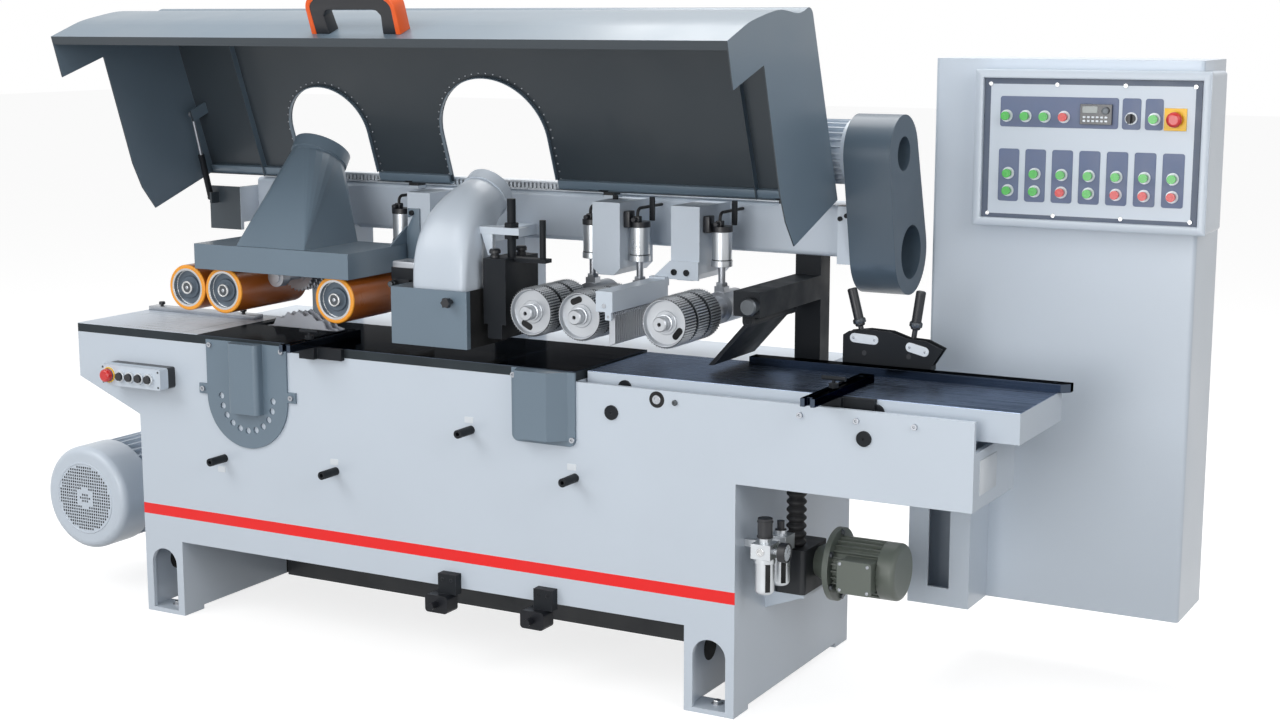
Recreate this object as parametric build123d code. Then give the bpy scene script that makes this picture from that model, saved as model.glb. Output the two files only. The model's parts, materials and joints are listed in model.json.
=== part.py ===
from build123d import *
import math
import os

os.makedirs("parts", exist_ok=True)

# Multi-rip saw with power feed. Millimetres, floor at Z = 0, +Z up.
# +X runs from the outfeed end to the infeed end, -Y is the operator side.

# Fits shared by all pieces
RUN_FIT = 0.06  # radial gap of a turning shaft in its bore
SLIDE_FIT = 0.4  # radial gap of a sliding rod in its bore
REST_GAP = 0.5  # gap between a piece and the face it slides over
PIN_GAP = 0.5  # side gap between hinge leaves
SHEET = 3.0  # sheet metal of hoods and covers

# Base
BASE_X = 919.0  # half length of the body
BASE_Y = 347.5  # half depth of the body
BASE_BOTTOM = 213.0
DECK_Z = 780.0
PLATE = 12.0
LEFT_END_X = -1137.0
LEFT_END_Z = 653.0
LEFT_ROOT_Z = 563.0
LEFT_REAR_Y = 30.0
ARM_END_X = 1496.0
ARM_BOTTOM = 575.0
ARM_REAR_Y = -61.5
ARM_WALL_Z = 708.0
REAR_WALL_Y = 223.0
SKIRT_Y = 107.0
SKIRT_Z = 5.0
FOOT_WIDTH = 134.0
FOOT_FLOOR = 12.0
PAD_LENGTH = 80.0
ARCH_R = 44.0
ARCH_TOP = 186.0
ANCHOR_R = 9.0
ANCHOR_INSET = 48.0
FLANGE = 60.0
ADJUSTER_SPOTS = [(-620.0, 470.0), (-245.0, 476.0), (182.0, 630.0), (484.0, 541.0)]

# Arbors
ARBOR_X = -531.0
LOWER_ARBOR_Z = 690.0
UPPER_ARBOR_Z = 955.0
LOWER_SHAFT_R = 20.0
UPPER_SHAFT_R = 15.0
HOUSING_R = 42.0
LOWER_HOUSING_FRONT = -40.0
UPPER_HOUSING_FRONT = 0.0
UPPER_HOUSING_REAR = 200.0
BLADE_R = 160.0
UPPER_BLADE_R = 50.0
BLADE_T = 4.0
BLADE_YS = [-120.0, -95.0, -70.0]
BLADE_TEETH = 24
TOOTH_DEPTH = 12.0
UPPER_TOOTH_DEPTH = 7.0
COLLAR_R = 34.0
NUT_R = 26.0
SHAFT_END_GAP = 6.0
SLOT_GAP = 8.0

# Tables
TABLE_T = 24.0
TABLE_TOP = DECK_Z + TABLE_T
TABLE_RIGHT_X = 485.0
TABLE_REAR_Y = 20.0
SEAM_XS = [-760.0, -340.0, 250.0]
SEAM_W = 2.0
SEAM_D = 3.0
INFEED_X0 = TABLE_RIGHT_X + 7.0
INFEED_X1 = 1582.0
INFEED_FRONT_Y = -298.0
INFEED_REAR_Y = 12.0
INFEED_Z0 = 728.0
INFEED_TOP = 800.0
INFEED_WALL = 14.0
INFEED_SKIN = 22.0
INFEED_ROOM = 13.0
LIFT_X = 982.0
LIFT_Y = -137.0
SCREW_R = 11.0
SCREW_BOTTOM = 312.0
BOSS_R = 28.0
FENCE_X0 = 800.0
FENCE_X1 = 1608.0
FENCE_FRONT_Y = -30.0
FENCE_DEPTH = 40.0
FENCE_H = 20.0
FENCE_CUT = 18.0
FENCE_HOLE_R = 4.0

# Guide bars and their clamps
GUIDE_W = 35.0
GUIDE_T = 19.0
GUIDE_SLOT_R = 5.5
GUIDE_NOTCH_W = 14.0
GUIDE_NOTCH_L = 16.0
GUIDE_SLOT_INSET = 38.0
INFEED_GUIDE_X = 1147.5
INFEED_GUIDE_YS = (-460.0, -110.0)
OUTFEED_GUIDE_X = -307.5
OUTFEED_GUIDE_YS = (-465.0, -165.0)
CLAMP_STUD_R = 4.0
CLAMP_H = 30.0
CLAMP_DEPTH = 30.0
CLAMP_SIDE = 24.0
CLAMP_TAIL = 100.0
CLAMP_POST = 22.0
CLAMP_NUT_R = 11.0
CLAMP_BAR_R = 5.0
CLAMP_BAR_L = 58.0

# Covers on the front plate
COVER_T = 6.0
SAW_COVER_R = 136.0
SAW_COVER_Z = 644.0
SAW_COVER_TOP = 795.0
SAW_RIB_X0 = -574.0
SAW_RIB_X1 = -474.0
SAW_RIB_Z = 606.0
SAW_RIB_PROUD = 35.0
SAW_RIB_ROUND = 14.0
SAW_TAB_Z = 659.0
SAW_TAB_W = 28.0
SAW_TAB_OUT = 28.0
SAW_HOLES = 11
SAW_HOLE_R = 9.0
SAW_HOLE_RING = 88.0
SAW_HOLE_SPAN = 180.0
CUTTER_X0 = 307.0
CUTTER_X1 = 488.0
CUTTER_Z0 = 618.0
CUTTER_Z1 = 802.0
CUTTER_PROUD = 42.0
CUTTER_FLANGE = 14.0
CUTTER_LEFT_SLOPE = 16.0
CUTTER_RIGHT_SLOPE = 46.0
CUTTER_ROUND = 18.0
SCREW_HEAD_R = 7.0
SCREW_HEAD_H = 6.0
SCREW_SOCKET_R = 3.5
SCREW_SOCKET_D = 3.5

# Small controls on the base
ADJUSTER_R = 11.0
ADJUSTER_OUT = 62.0
ADJUSTER_COLLAR_R = 17.0
ADJUSTER_COLLAR_L = 12.0
ADJUSTER_HEX = 6.0
ADJUSTER_HEX_D = 14.0
CRANK_XS = [91.0, 377.0]
CRANK_PLATE_W = 54.0
CRANK_PLATE_Z0 = 200.0
CRANK_PLATE_Z1 = 253.0
CRANK_PLATE_T = 26.0
CRANK_BODY_W = 68.0
CRANK_BODY_D = 48.0
CRANK_BODY_Z0 = 154.0
CRANK_SHIFT = 26.0
CRANK_STUB_R = 9.0
CRANK_STUB_L = 26.0
PENDANT_X0 = -1000.0
PENDANT_X1 = -785.0
PENDANT_Z0 = 650.0
PENDANT_Z1 = 708.0
PENDANT_D = 60.0
PENDANT_ESTOP_X = -970.0
PENDANT_BUTTON_XS = [-925.0, -891.0, -857.0, -823.0]

# Push buttons
STEM_R = 7.0
STEM_L = 20.0
CAP_R = 10.5
CAP_L = 9.0
PUSH = 4.0
ESTOP_PUSH = 5.0
ESTOP_R = 18.0
ESTOP_L = 16.0
PUSH_REST = 1.5

# Saw motor
SAW_MOTOR_X = -1190.0
SAW_MOTOR_Z = 280.0
SAW_MOTOR_R = 150.0
SAW_MOTOR_FRONT = -300.0
SAW_MOTOR_REAR = 120.0
SAW_COWL_L = 120.0
SAW_BODY_R = 132.0
SAW_FIN_T = 4.0
SAW_FINS = 36
SAW_BELL_L = 46.0
SAW_FOOT_Z0 = 236.0
SAW_FOOT_Z1 = 322.0
SAW_FOOT_Y0 = -150.0
SAW_FOOT_Y1 = 50.0
SAW_FLANGE_T = 16.0
SAW_FLANGE_Z0 = 215.0
SAW_FLANGE_Z1 = 345.0

# Feed beam
BEAM_X0 = -870.0
BEAM_X1 = 975.0
BEAM_Y0 = 130.0
BEAM_Y1 = 260.0
BEAM_Z0 = 1060.0
BEAM_Z1 = 1190.0
BEAM_WALL = 8.0
BEAM_ROUND = 14.0
POST_Y0 = 140.0
POST_Y1 = 250.0
POST_SPANS = [(-60.0, 40.0), (-690.0, -590.0)]
BOX_SPANS = [(358.0, 438.0), (585.0, 665.0), (-218.0, -144.0), (-680.0, -620.0)]
BOX_FRONT_Y = -40.0
BOX_Z0 = 1000.0
BOX_Z1 = 1186.0
BOX_CUT = 18.0
BOX_SINK = 6.5
ARBOR_WEB = 40.0
END_X = 1010.0
END_Y0 = 100.0
END_Z0 = 1047.0
END_Z1 = 1192.0

# Feed rollers and their presses
ROLLER_FRONT = -297.0
ROLLER_REAR = -12.0
KNURLED_XS = [329.0, 468.0, 702.0]
KNURLED_Z = 932.0
KNURLED_R = 63.0
KNURLED_ROOT = 50.0
KNURLED_WHEELS = 3
KNURLED_GAP = 14.0
KNURLED_REAR = -107.0
KNURLED_TEETH = 54
KNURL_DEPTH = 3.5
KNURLED_TURNS = [150.0, 40.0, -120.0]
RUBBER_XS = [-775.0, -648.0, -274.0]
RUBBER_Z = 921.0
RUBBER_R = 62.5
DISH_R = 47.0
DISH_D = 14.0
NOSE_R = 17.0
NOSE_OUT = 25.0
RUBBER_NOSE_OUT = 1.0
FEED_SHAFT_R = 15.0
BEARING_R = 40.0
BEARING_Y0 = -8.0
SLEEVE_R = 28.0
SLEEVE_GAP = 4.0
BEARING_Y1 = 90.0
CYLINDER_Y = 12.0
CYLINDER_R = 25.0
CYLINDER_Z0 = 1035.0
CYLINDER_Z1 = 1136.0
CYLINDER_CAP = 14.0
CYLINDER_CAP_R = 27.0
CYLINDER_BORE_TOP = 1122.0
PRESS_ROD_R = 9.0
PRESS_ROD_TOP = 1090.0
CLEVIS_TOP = 985.0
CLEVIS_W = 28.0
CLEVIS_D = 28.0
PRESS_BRIDGE_H = 36.0
BRACKET_T = 12.0
TUBE_R = 4.0
TUBE_RISE = 34.0
TUBE_BEND = 15.0
TUBE_Y = 0.0
FITTING_R = 7.0
FITTING_H = 8.0

# Anti-kickback pieces
FINGER_BAR_X0 = 534.0
FINGER_BAR_X1 = 580.0
FINGER_BAR_Y0 = -330.0
FINGER_BAR_Z0 = 953.0
FINGER_BAR_Z1 = 1003.0
FINGER_PLATE_T = 6.0
FINGER_PLATE_Z0 = 1002.0
FINGER_PLATE_Z1 = 1048.0
FINGER_NECK_Z0 = 985.0
FINGER_NECK_D = 16.0
FINGER_X = 568.0
FINGER_PIVOT_Z = 942.0
FINGER_TIP_Z = 868.0
FINGER_HALF = 8.0
FINGER_T = 6.0
FINGER_PITCH = 9.5
FINGER_COUNT = 26
FINGER_PIN_R = 3.5
FINGER_LUG_T = 8.0
KICK_X0 = 845.0
KICK_X1 = 915.0
KICK_Y0 = 143.0
KICK_Y1 = 200.0
KICK_ARM_FRONT = -215.0
KICK_ARM_Z0 = 950.0
KICK_ARM_Z1 = 1010.0
KICK_KNOB_X = 893.0
KICK_KNOB_Z = 976.0
KICK_KNOB_R = 22.0
KICK_KNOB_L = 25.0
FLAP_X = 865.0
FLAP_Z = 932.0
FLAP_TIP_X = 758.0
FLAP_TIP_Z = 812.0
FLAP_T = 10.0
FLAP_Y0 = -165.0
FLAP_Y1 = 68.0
FLAP_PIN_R = 7.0
FLAP_LUG_T = 14.0
FLAP_EYE_R = 13.0

# Chip hood, cover and pressure block
CHIP_X = 53.5
CHIP_Z = 965.0
CHIP_COVER_X0 = -79.0
CHIP_COVER_X1 = 153.0
CHIP_COVER_FRONT = -317.0
CHIP_COVER_REAR = -130.0
CHIP_COVER_Z0 = 826.0
CHIP_COVER_Z1 = 973.0
CHIP_KNOB_X = 107.0
CHIP_KNOB_Z = 945.0
CHIP_KNOB_R = 14.0
CHIP_PORT_Y = -50.0
CHIP_PORT_Z = 1205.0
CHIP_PORT_R = 66.0
CHIP_PORT_LEAN = 58.0
CHIP_MOUTH = (-220.0, 165.0, 160.0, 20.0)  # y, width, depth, corner
CHIP_BENDS = [  # y, z, lean, width, depth, corner
    (-214.0, 1045.0, 9.0, 165.0, 157.0, 22.0),
    (-190.0, 1108.0, 30.0, 158.0, 148.0, 36.0),
    (-143.0, 1153.0, 54.0, 144.0, 140.0, 58.0),
]
CHIP_STAY_W = 60.0
CHIP_STAY_H = 28.0
SHOE_X0 = 167.0
SHOE_X1 = 233.0
SHOE_Y0 = -260.0
SHOE_Y1 = -104.0
SHOE_FOOT_Z = 850.0
SHOE_Z0 = 887.0
SHOE_Z1 = 1053.0
SHOE_ROD_X = 215.0
SHOE_ROD_Y = -200.0
SHOE_ROD_R = 11.0
SHOE_ROD_TOP = 1200.0
SHOE_GUIDE_X = 307.0
SHOE_GUIDE_R = 8.0
SHOE_GUIDE_TOP = 1150.0
SHOE_ARM_H = 10.0
SHOE_BRACKET_Z0 = 1110.0
SHOE_BRACKET_Z1 = 1128.0
SHOE_BRACKET_X1 = 250.0

# Dust hood
TRAY_X0 = -727.0
TRAY_X1 = -212.0
TRAY_Y0 = -317.0
TRAY_Y1 = -60.0
TRAY_Z0 = 979.0
TRAY_Z1 = 1047.0
TRAY_REAR_RAISE = 12.0
PORT_X = -535.0
PORT_Y = 8.0
PORT_Z = 1290.0
PORT_R = 80.0
PORT_LEAN = 35.0
PORT_COLLAR = 34.0
PORT_NECK = 10.0
PORT_INSET = 6.0
CONE_X0 = -592.0
CONE_X1 = -362.0
CONE_Y0 = -306.0
CONE_Y1 = -72.0
CONE_FOLDS = 6  # folds at each corner of the cone

# Hinged hood, drawn closed and then turned open
HOOD_X0 = -993.0
HOOD_X1 = 982.0
HINGE_Y = 83.0
HINGE_Z = 1208.0
HOOD_OPEN = 69.73
HOOD_ARCHES = [(-523.0, 131.0, 272.0), (21.0, 165.0, 306.0)]
HOOD_RIB_XS = [-790.0, 770.0]
HOOD_RIB_D = 22.0
HOOD_FLANGE = 20.0
HOOD_LIP = 22.0
HINGE_XS = [-735.0, -290.0, 330.0, 835.0]
HINGE_W = 30.0
HINGE_EYE_R = 9.0
HINGE_PIN_R = 4.0
HINGE_RELIEF = 14.0
HANDLE_X0 = -153.0
HANDLE_X1 = 108.0
HANDLE_V = 398.0
HANDLE_OUT = 97.0
HANDLE_R = 20.0
HANDLE_POST_W = 54.0
HOOD_FRONT_U = 582.0
HOOD_LIP_V = 446.0
HOOD_FLAT_U = 476.0
HOOD_CORNER = (503.0, 29.0)
HOOD_KNOTS = [(543.0, 149.0), (572.0, 268.0)]
HOOD_SKIRT_V = 355.0
HOOD_SIDE = [(471.0, 453.0), (465.0, 290.0), (156.0, 304.0), (80.0, 296.0), (5.0, 270.0)]

# Gas strut
STRUT_X = -965.0
STRUT_FOOT_Y = 32.0
STRUT_FOOT_Z = 1134.0
STRUT_TOP_Y = -36.0
STRUT_TOP_Z = 1377.0
STRUT_EYE_R = 8.0
STRUT_EYE_W = 12.0
STRUT_PIN_R = 4.0
STRUT_TUBE_R = 9.0
STRUT_TUBE_L = 130.0
STRUT_BORE_START = 12.0
STRUT_ROD_R = 4.5
STRUT_OVERLAP = 12.0
STRUT_LUG_T = 6.0
STRUT_PLATE_X0 = -984.0
STRUT_PLATE_Y = 50.0
STRUT_PLATE_Z0 = 1042.0
STRUT_PLATE_Z1 = 1166.0

# Feed drive
DRIVE_X0 = END_X
DRIVE_X1 = 1130.0
DRIVE_TOP_Y = 141.0
DRIVE_TOP_Z = 1322.0
DRIVE_TOP_R = 95.0
DRIVE_LOW_Y = 205.0
DRIVE_LOW_Z = 1075.0
DRIVE_LOW_R = 107.0
DRIVE_TOP_HOLE_R = 42.0
DRIVE_LOW_HOLE_R = 67.0
FEED_MOTOR_X0 = 860.0
FEED_MOTOR_R = 80.0
FEED_MOTOR_ROOT = 68.0
FEED_MOTOR_FINS = 28
FEED_COWL_L = 46.0
FEED_FLANGE_L = 16.0

# Lever station behind the infeed fence
LEVER_X0 = 1029.0
LEVER_X1 = 1258.0
LEVER_Y0 = 20.0
LEVER_Y1 = 52.0
LEVER_LEAF = 4.0
LEVER_FOOT_Z0 = 742.0
LEVER_FOOT_Z1 = 826.0
LEVER_RIM = [  # top edge of the plate
    (1285.0, 868.0),
    (1241.0, 886.0),
    (1193.0, 888.0),
    (1151.0, 901.0),
    (1092.0, 903.0),
    (1044.0, 896.0),
    (1029.0, 886.0),
]
LEVER_CUT = 38.0
LEVER_PIVOT_Z = 845.0
LEVER_PIN_R = 6.0
LEVER_ROD_R = 6.5
LEVER_HUB_R = 12.0
LEVER_GRIP_R = 12.0
LEVER_GRIP_L = 95.0
LEVER_LENGTH = 160.0
LEVER_SPOTS = [(1085.0, -15.0), (1200.0, 8.0)]

# Cabinet
CAB_X0 = 1152.0
CAB_X1 = 1808.0
CAB_Y0 = 290.0
CAB_Y1 = 520.0
CAB_Z0 = 196.0
CAB_Z1 = 1550.0
CAB_WALL = 4.0
CAB_ROUND = 10.0
PANEL_X0 = 1273.0
PANEL_X1 = 1838.0
PANEL_Y = 252.0
PANEL_REAR_Y = 390.0
PANEL_Z0 = 1148.0
PANEL_Z1 = 1525.0
FACE_X0 = 1294.0
FACE_X1 = 1815.0
FACE_Z0 = 1164.0
FACE_Z1 = 1505.0
FACE_T = 3.0
CAB_POST_X0 = 1162.0
CAB_POST_X1 = 1322.0
CAB_POST_Y0 = 152.0
CAB_POST_Z1 = 640.0
CAB_ARM_Y0 = 160.0
CAB_ARM_Y1 = 270.0
CAB_ARM_Z0 = 540.0
WINDOW_W = 56.0
WINDOW_Z0 = 242.0
WINDOW_Z1 = 510.0
BEZEL_R = 14.5
BEZEL_H = 5.0
TOP_ROW_Z = 1415.0
TOP_ROW_XS = [1351.0, 1398.0, 1445.0, 1492.0, 1707.0]
SELECTOR_X = 1653.0
PANEL_ESTOP_X = 1756.0
COLUMN_X0 = 1359.0
COLUMN_PITCH = 66.2
COLUMNS = 7
ROW_ZS = [1277.0, 1235.0]
DRIVE_BOX = (1532.0, 1608.0, 1399.0, 1447.0)
DRIVE_BOX_T = 8.0
ESTOP_PLATE = 26.0
SELECTOR_R = 11.0
SELECTOR_L = 8.0
SELECTOR_BAR = 7.0
SELECTOR_BAR_L = 12.0

# Air service unit
FRL_X = 990.0
FRL_YS = [-334.0, -246.0]
FRL_BODY = 50.0
FRL_Z0 = 405.0
FRL_Z1 = 441.0
FRL_BOWL_R = 23.0
FRL_BOWL_Z = 317.0
FRL_KNOB_R = 17.5
FRL_KNOB_Z = 500.0
FRL_NECK_R = 14.0
FRL_DOME_R = 9.0
FRL_DOME_Z = 474.0
GAUGE_X0 = 1030.0
GAUGE_R = 23.0
GAUGE_T = 16.0
FRL_ARM_T = 18.0

# Table lift drive and bellows
WORM_HALF = 40.0
WORM_Y1 = -36.0
WORM_Z0 = 275.0
WORM_Z1 = 385.0
MOTOR_Y = -90.0
MOTOR_Z = 341.0
MOTOR_R = 70.0
MOTOR_ROOT = 60.0
MOTOR_FINS = 26
NECK_X1 = 1068.0
NECK_R0 = 36.0
FLANGE_R = 90.0
FLANGE_T = 14.0
MOTOR_X1 = 1242.0
MOTOR_COWL_L = 44.0
TERMINAL_X0 = 1116.0
TERMINAL_W = 80.0
TERMINAL_D = 30.0
TERMINAL_H = 74.0
LIFT_FOOT_Z1 = 345.0
SHELF_T = 8.0
SHELF_WEB_Z = 226.0
BELLOWS_R = 25.0
BELLOWS_ROOT = 18.0
BELLOWS_BORE = 15.5
BELLOWS_RIBS = 17
BELLOWS_HOLE_R = 31.0


def block(x0, x1, y0, y1, z0, z1):
    """Return a box between two opposite corners."""
    centre = Pos((x0 + x1) / 2, (y0 + y1) / 2, (z0 + z1) / 2)
    return centre * Box(x1 - x0, y1 - y0, z1 - z0)


def rod_x(radius, x0, x1, y, z):
    """Return a round bar along X."""
    return Pos((x0 + x1) / 2, y, z) * Rot(0, 90, 0) * Cylinder(radius, x1 - x0)


def rod_y(radius, y0, y1, x, z):
    """Return a round bar along Y."""
    return Pos(x, (y0 + y1) / 2, z) * Rot(90, 0, 0) * Cylinder(radius, y1 - y0)


def rod_z(radius, z0, z1, x, y):
    """Return a round bar along Z."""
    return Pos(x, y, (z0 + z1) / 2) * Cylinder(radius, z1 - z0)


def prism_x(points, x0, x1):
    """Extrude a closed (y, z) outline along X."""
    outline = Polyline(*[(x0, y, z) for y, z in points], close=True)
    return extrude(make_face(outline), amount=x1 - x0, dir=(1, 0, 0))


def prism_y(points, y0, y1):
    """Extrude a closed (x, z) outline along Y."""
    outline = Polyline(*[(x, y0, z) for x, z in points], close=True)
    return extrude(make_face(outline), amount=y1 - y0, dir=(0, 1, 0))


def prism_z(points, z0, z1):
    """Extrude a closed (x, y) outline along Z."""
    outline = Polyline(*[(x, y, z0) for x, y in points], close=True)
    return extrude(make_face(outline), amount=z1 - z0, dir=(0, 0, 1))


def ring_points(count, outer, inner, cx, cz):
    """Return a toothed outline around a centre, two points to a tooth."""
    points = []
    for i in range(count):
        tip = 2 * math.pi * i / count
        root = 2 * math.pi * (i + 0.5) / count
        points.append((cx + outer * math.cos(tip), cz + outer * math.sin(tip)))
        points.append((cx + inner * math.cos(root), cz + inner * math.sin(root)))
    return points


def save(name, shape):
    """Write one piece under its own name."""
    export_step(shape, os.path.join("parts", name + ".step"))


def foot(x0, x1):
    """Hollow foot with two floor plates, anchor holes and arched ends."""
    shell = block(x0, x1, -BASE_Y, BASE_Y, 0, BASE_BOTTOM + PLATE)
    inner_y = BASE_Y - PLATE
    shell -= block(x0 + PLATE, x1 - PLATE, -inner_y, inner_y, FOOT_FLOOR, BASE_BOTTOM + 2 * PLATE)
    gap_y = BASE_Y - PAD_LENGTH
    shell -= block(x0 - PLATE, x1 + PLATE, -gap_y, gap_y, -FOOT_FLOOR, FOOT_FLOOR)
    xc = (x0 + x1) / 2
    arch_z = ARCH_TOP - ARCH_R
    opening = rod_y(ARCH_R, -2 * BASE_Y, 2 * BASE_Y, xc, arch_z)
    opening += block(xc - ARCH_R, xc + ARCH_R, -2 * BASE_Y, 2 * BASE_Y, FOOT_FLOOR, arch_z)
    shell -= opening
    for side in (-1, 1):
        shell -= rod_z(ANCHOR_R, -FOOT_FLOOR, 2 * FOOT_FLOOR, xc, side * (BASE_Y - ANCHOR_INSET))
    return shell


def base_frame():
    """Welded base with feet, outfeed overhang, infeed arm and arbor housing."""
    front_out = -BASE_Y
    front_in = -BASE_Y + PLATE
    outline = [(-BASE_X, BASE_BOTTOM), (BASE_X, BASE_BOTTOM), (BASE_X, ARM_BOTTOM)]
    outline += [(ARM_END_X, ARM_BOTTOM), (ARM_END_X, DECK_Z), (LEFT_END_X, DECK_Z)]
    outline += [(LEFT_END_X, LEFT_END_Z), (-BASE_X, LEFT_ROOT_Z)]
    body = prism_y(outline, front_out, front_in)
    body += block(-BASE_X, BASE_X, -BASE_Y, -BASE_Y + FLANGE, BASE_BOTTOM, BASE_BOTTOM + PLATE)
    inner_x = BASE_X - PLATE
    body += block(-BASE_X, -inner_x, -BASE_Y, BASE_Y, BASE_BOTTOM, DECK_Z)
    right_wall = block(inner_x, BASE_X, -BASE_Y, BASE_Y, BASE_BOTTOM, DECK_Z)
    table_rear = INFEED_REAR_Y + INFEED_ROOM
    right_wall -= block(0, ARM_END_X, front_in, table_rear, ARM_WALL_Z, DECK_Z + PLATE)
    body += right_wall
    body += block(-BASE_X, BASE_X, REAR_WALL_Y, REAR_WALL_Y + PLATE, BASE_BOTTOM, DECK_Z)
    skirt_x = BASE_X - FOOT_WIDTH
    shelf_z = BASE_BOTTOM + PLATE
    body += block(-skirt_x, skirt_x, SKIRT_Y, SKIRT_Y + PLATE, SKIRT_Z, shelf_z)
    body += block(-skirt_x, skirt_x, SKIRT_Y, REAR_WALL_Y + PLATE, BASE_BOTTOM, shelf_z)
    deck = block(-BASE_X, BASE_X, -BASE_Y, BASE_Y, DECK_Z - PLATE, DECK_Z)
    deck += block(LEFT_END_X, -BASE_X, -BASE_Y, LEFT_REAR_Y, DECK_Z - PLATE, DECK_Z)
    deck -= block(TABLE_RIGHT_X, BASE_X - PLATE, front_in, table_rear, 0, 2 * DECK_Z)
    deck -= block(TABLE_RIGHT_X, 2 * BASE_X, front_in, table_rear, 0, 2 * DECK_Z)
    slot_half = BLADE_R
    slot_y0 = min(BLADE_YS) - 3 * SLOT_GAP
    slot_y1 = max(BLADE_YS) + 3 * SLOT_GAP
    deck -= block(ARBOR_X - slot_half, ARBOR_X + slot_half, slot_y0, slot_y1, 0, 2 * DECK_Z)
    body += deck
    overhang = [(LEFT_END_X, LEFT_END_Z), (-BASE_X, LEFT_ROOT_Z)]
    overhang += [(-BASE_X, LEFT_ROOT_Z + PLATE), (LEFT_END_X + PLATE, LEFT_END_Z + PLATE)]
    overhang += [(LEFT_END_X + PLATE, DECK_Z), (LEFT_END_X, DECK_Z)]
    body += prism_y(overhang, -BASE_Y, LEFT_REAR_Y)
    body += block(BASE_X, ARM_END_X, -BASE_Y, ARM_REAR_Y, ARM_BOTTOM, ARM_BOTTOM + PLATE)
    body += block(ARM_END_X - PLATE, ARM_END_X, -BASE_Y, ARM_REAR_Y, ARM_BOTTOM, ARM_WALL_Z)
    body += block(BASE_X, ARM_END_X, ARM_REAR_Y - PLATE, ARM_REAR_Y, ARM_BOTTOM, ARM_WALL_Z)
    body -= rod_z(BELLOWS_HOLE_R, ARM_BOTTOM - PLATE, ARM_BOTTOM + 2 * PLATE, LIFT_X, LIFT_Y)
    shelf_x1 = LIFT_X + WORM_HALF
    shelf_y0 = LIFT_Y - WORM_HALF
    body += block(inner_x, shelf_x1, shelf_y0, WORM_Y1, WORM_Z0 - SHELF_T, WORM_Z0)
    web = [(inner_x, SHELF_WEB_Z), (inner_x, WORM_Z0 - SHELF_T / 2), (shelf_x1, WORM_Z0 - SHELF_T / 2)]
    body += prism_y(web, shelf_y0, shelf_y0 + SHELF_T)
    body += foot(-BASE_X, -BASE_X + FOOT_WIDTH)
    body += foot(BASE_X - FOOT_WIDTH, BASE_X)
    housing = rod_y(HOUSING_R, LOWER_HOUSING_FRONT, REAR_WALL_Y, ARBOR_X, LOWER_ARBOR_Z)
    body += housing
    body -= rod_y(LOWER_SHAFT_R + RUN_FIT, 2 * LOWER_HOUSING_FRONT, REAR_WALL_Y, ARBOR_X, LOWER_ARBOR_Z)
    for x, z in ADJUSTER_SPOTS:
        body -= rod_y(ADJUSTER_R + RUN_FIT, front_out - PLATE, front_in + PLATE, x, z)
    return body


def main_table():
    """Outfeed, saw and middle table as one ground plate with seams and a blade slot."""
    plate = block(LEFT_END_X, TABLE_RIGHT_X, -BASE_Y, TABLE_REAR_Y, DECK_Z, TABLE_TOP)
    rise = DECK_Z - LOWER_ARBOR_Z
    half = math.sqrt(BLADE_R**2 - rise**2) + SLOT_GAP
    slot_y0 = min(BLADE_YS) - SLOT_GAP
    slot_y1 = max(BLADE_YS) + SLOT_GAP
    plate -= block(ARBOR_X - half, ARBOR_X + half, slot_y0, slot_y1, 0, 2 * TABLE_TOP)
    for x in SEAM_XS:
        half_seam = SEAM_W / 2
        seam_z = TABLE_TOP - SEAM_D
        plate -= block(x - half_seam, x + half_seam, -2 * BASE_Y, BASE_Y, seam_z, 2 * TABLE_TOP)
    return plate


def infeed_table():
    """Height-adjustable table, hollow below, with its lifting screw."""
    table = block(INFEED_X0, INFEED_X1, INFEED_FRONT_Y, INFEED_REAR_Y, INFEED_Z0, INFEED_TOP)
    x0 = INFEED_X0 + INFEED_WALL
    x1 = INFEED_X1 - INFEED_WALL
    y0 = INFEED_FRONT_Y + INFEED_WALL
    y1 = INFEED_REAR_Y - INFEED_WALL
    skin_z = INFEED_TOP - INFEED_SKIN
    table -= block(x0, x1, y0, y1, INFEED_Z0 - PLATE, skin_z)
    for fraction in (0.25, 0.5, 0.75):
        x = x0 + fraction * (x1 - x0)
        table += block(x - INFEED_WALL / 2, x + INFEED_WALL / 2, y0, y1, INFEED_Z0, skin_z)
    table += rod_z(BOSS_R, INFEED_Z0, skin_z + REST_GAP, LIFT_X, LIFT_Y)
    table += rod_z(SCREW_R, SCREW_BOTTOM, skin_z, LIFT_X, LIFT_Y)
    return table


def infeed_fence():
    """Straight fence bar with a chamfered end and a hanging hole."""
    y1 = FENCE_FRONT_Y + FENCE_DEPTH
    outline = [(FENCE_X0, FENCE_FRONT_Y), (FENCE_X1 - FENCE_CUT, FENCE_FRONT_Y)]
    outline += [(FENCE_X1, FENCE_FRONT_Y + FENCE_CUT), (FENCE_X1, y1), (FENCE_X0, y1)]
    bar = prism_z(outline, INFEED_TOP, INFEED_TOP + FENCE_H)
    bar -= rod_z(FENCE_HOLE_R, 0, 2 * INFEED_TOP, FENCE_X1 - 2 * FENCE_CUT, y1 - FENCE_CUT)
    return bar


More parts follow.
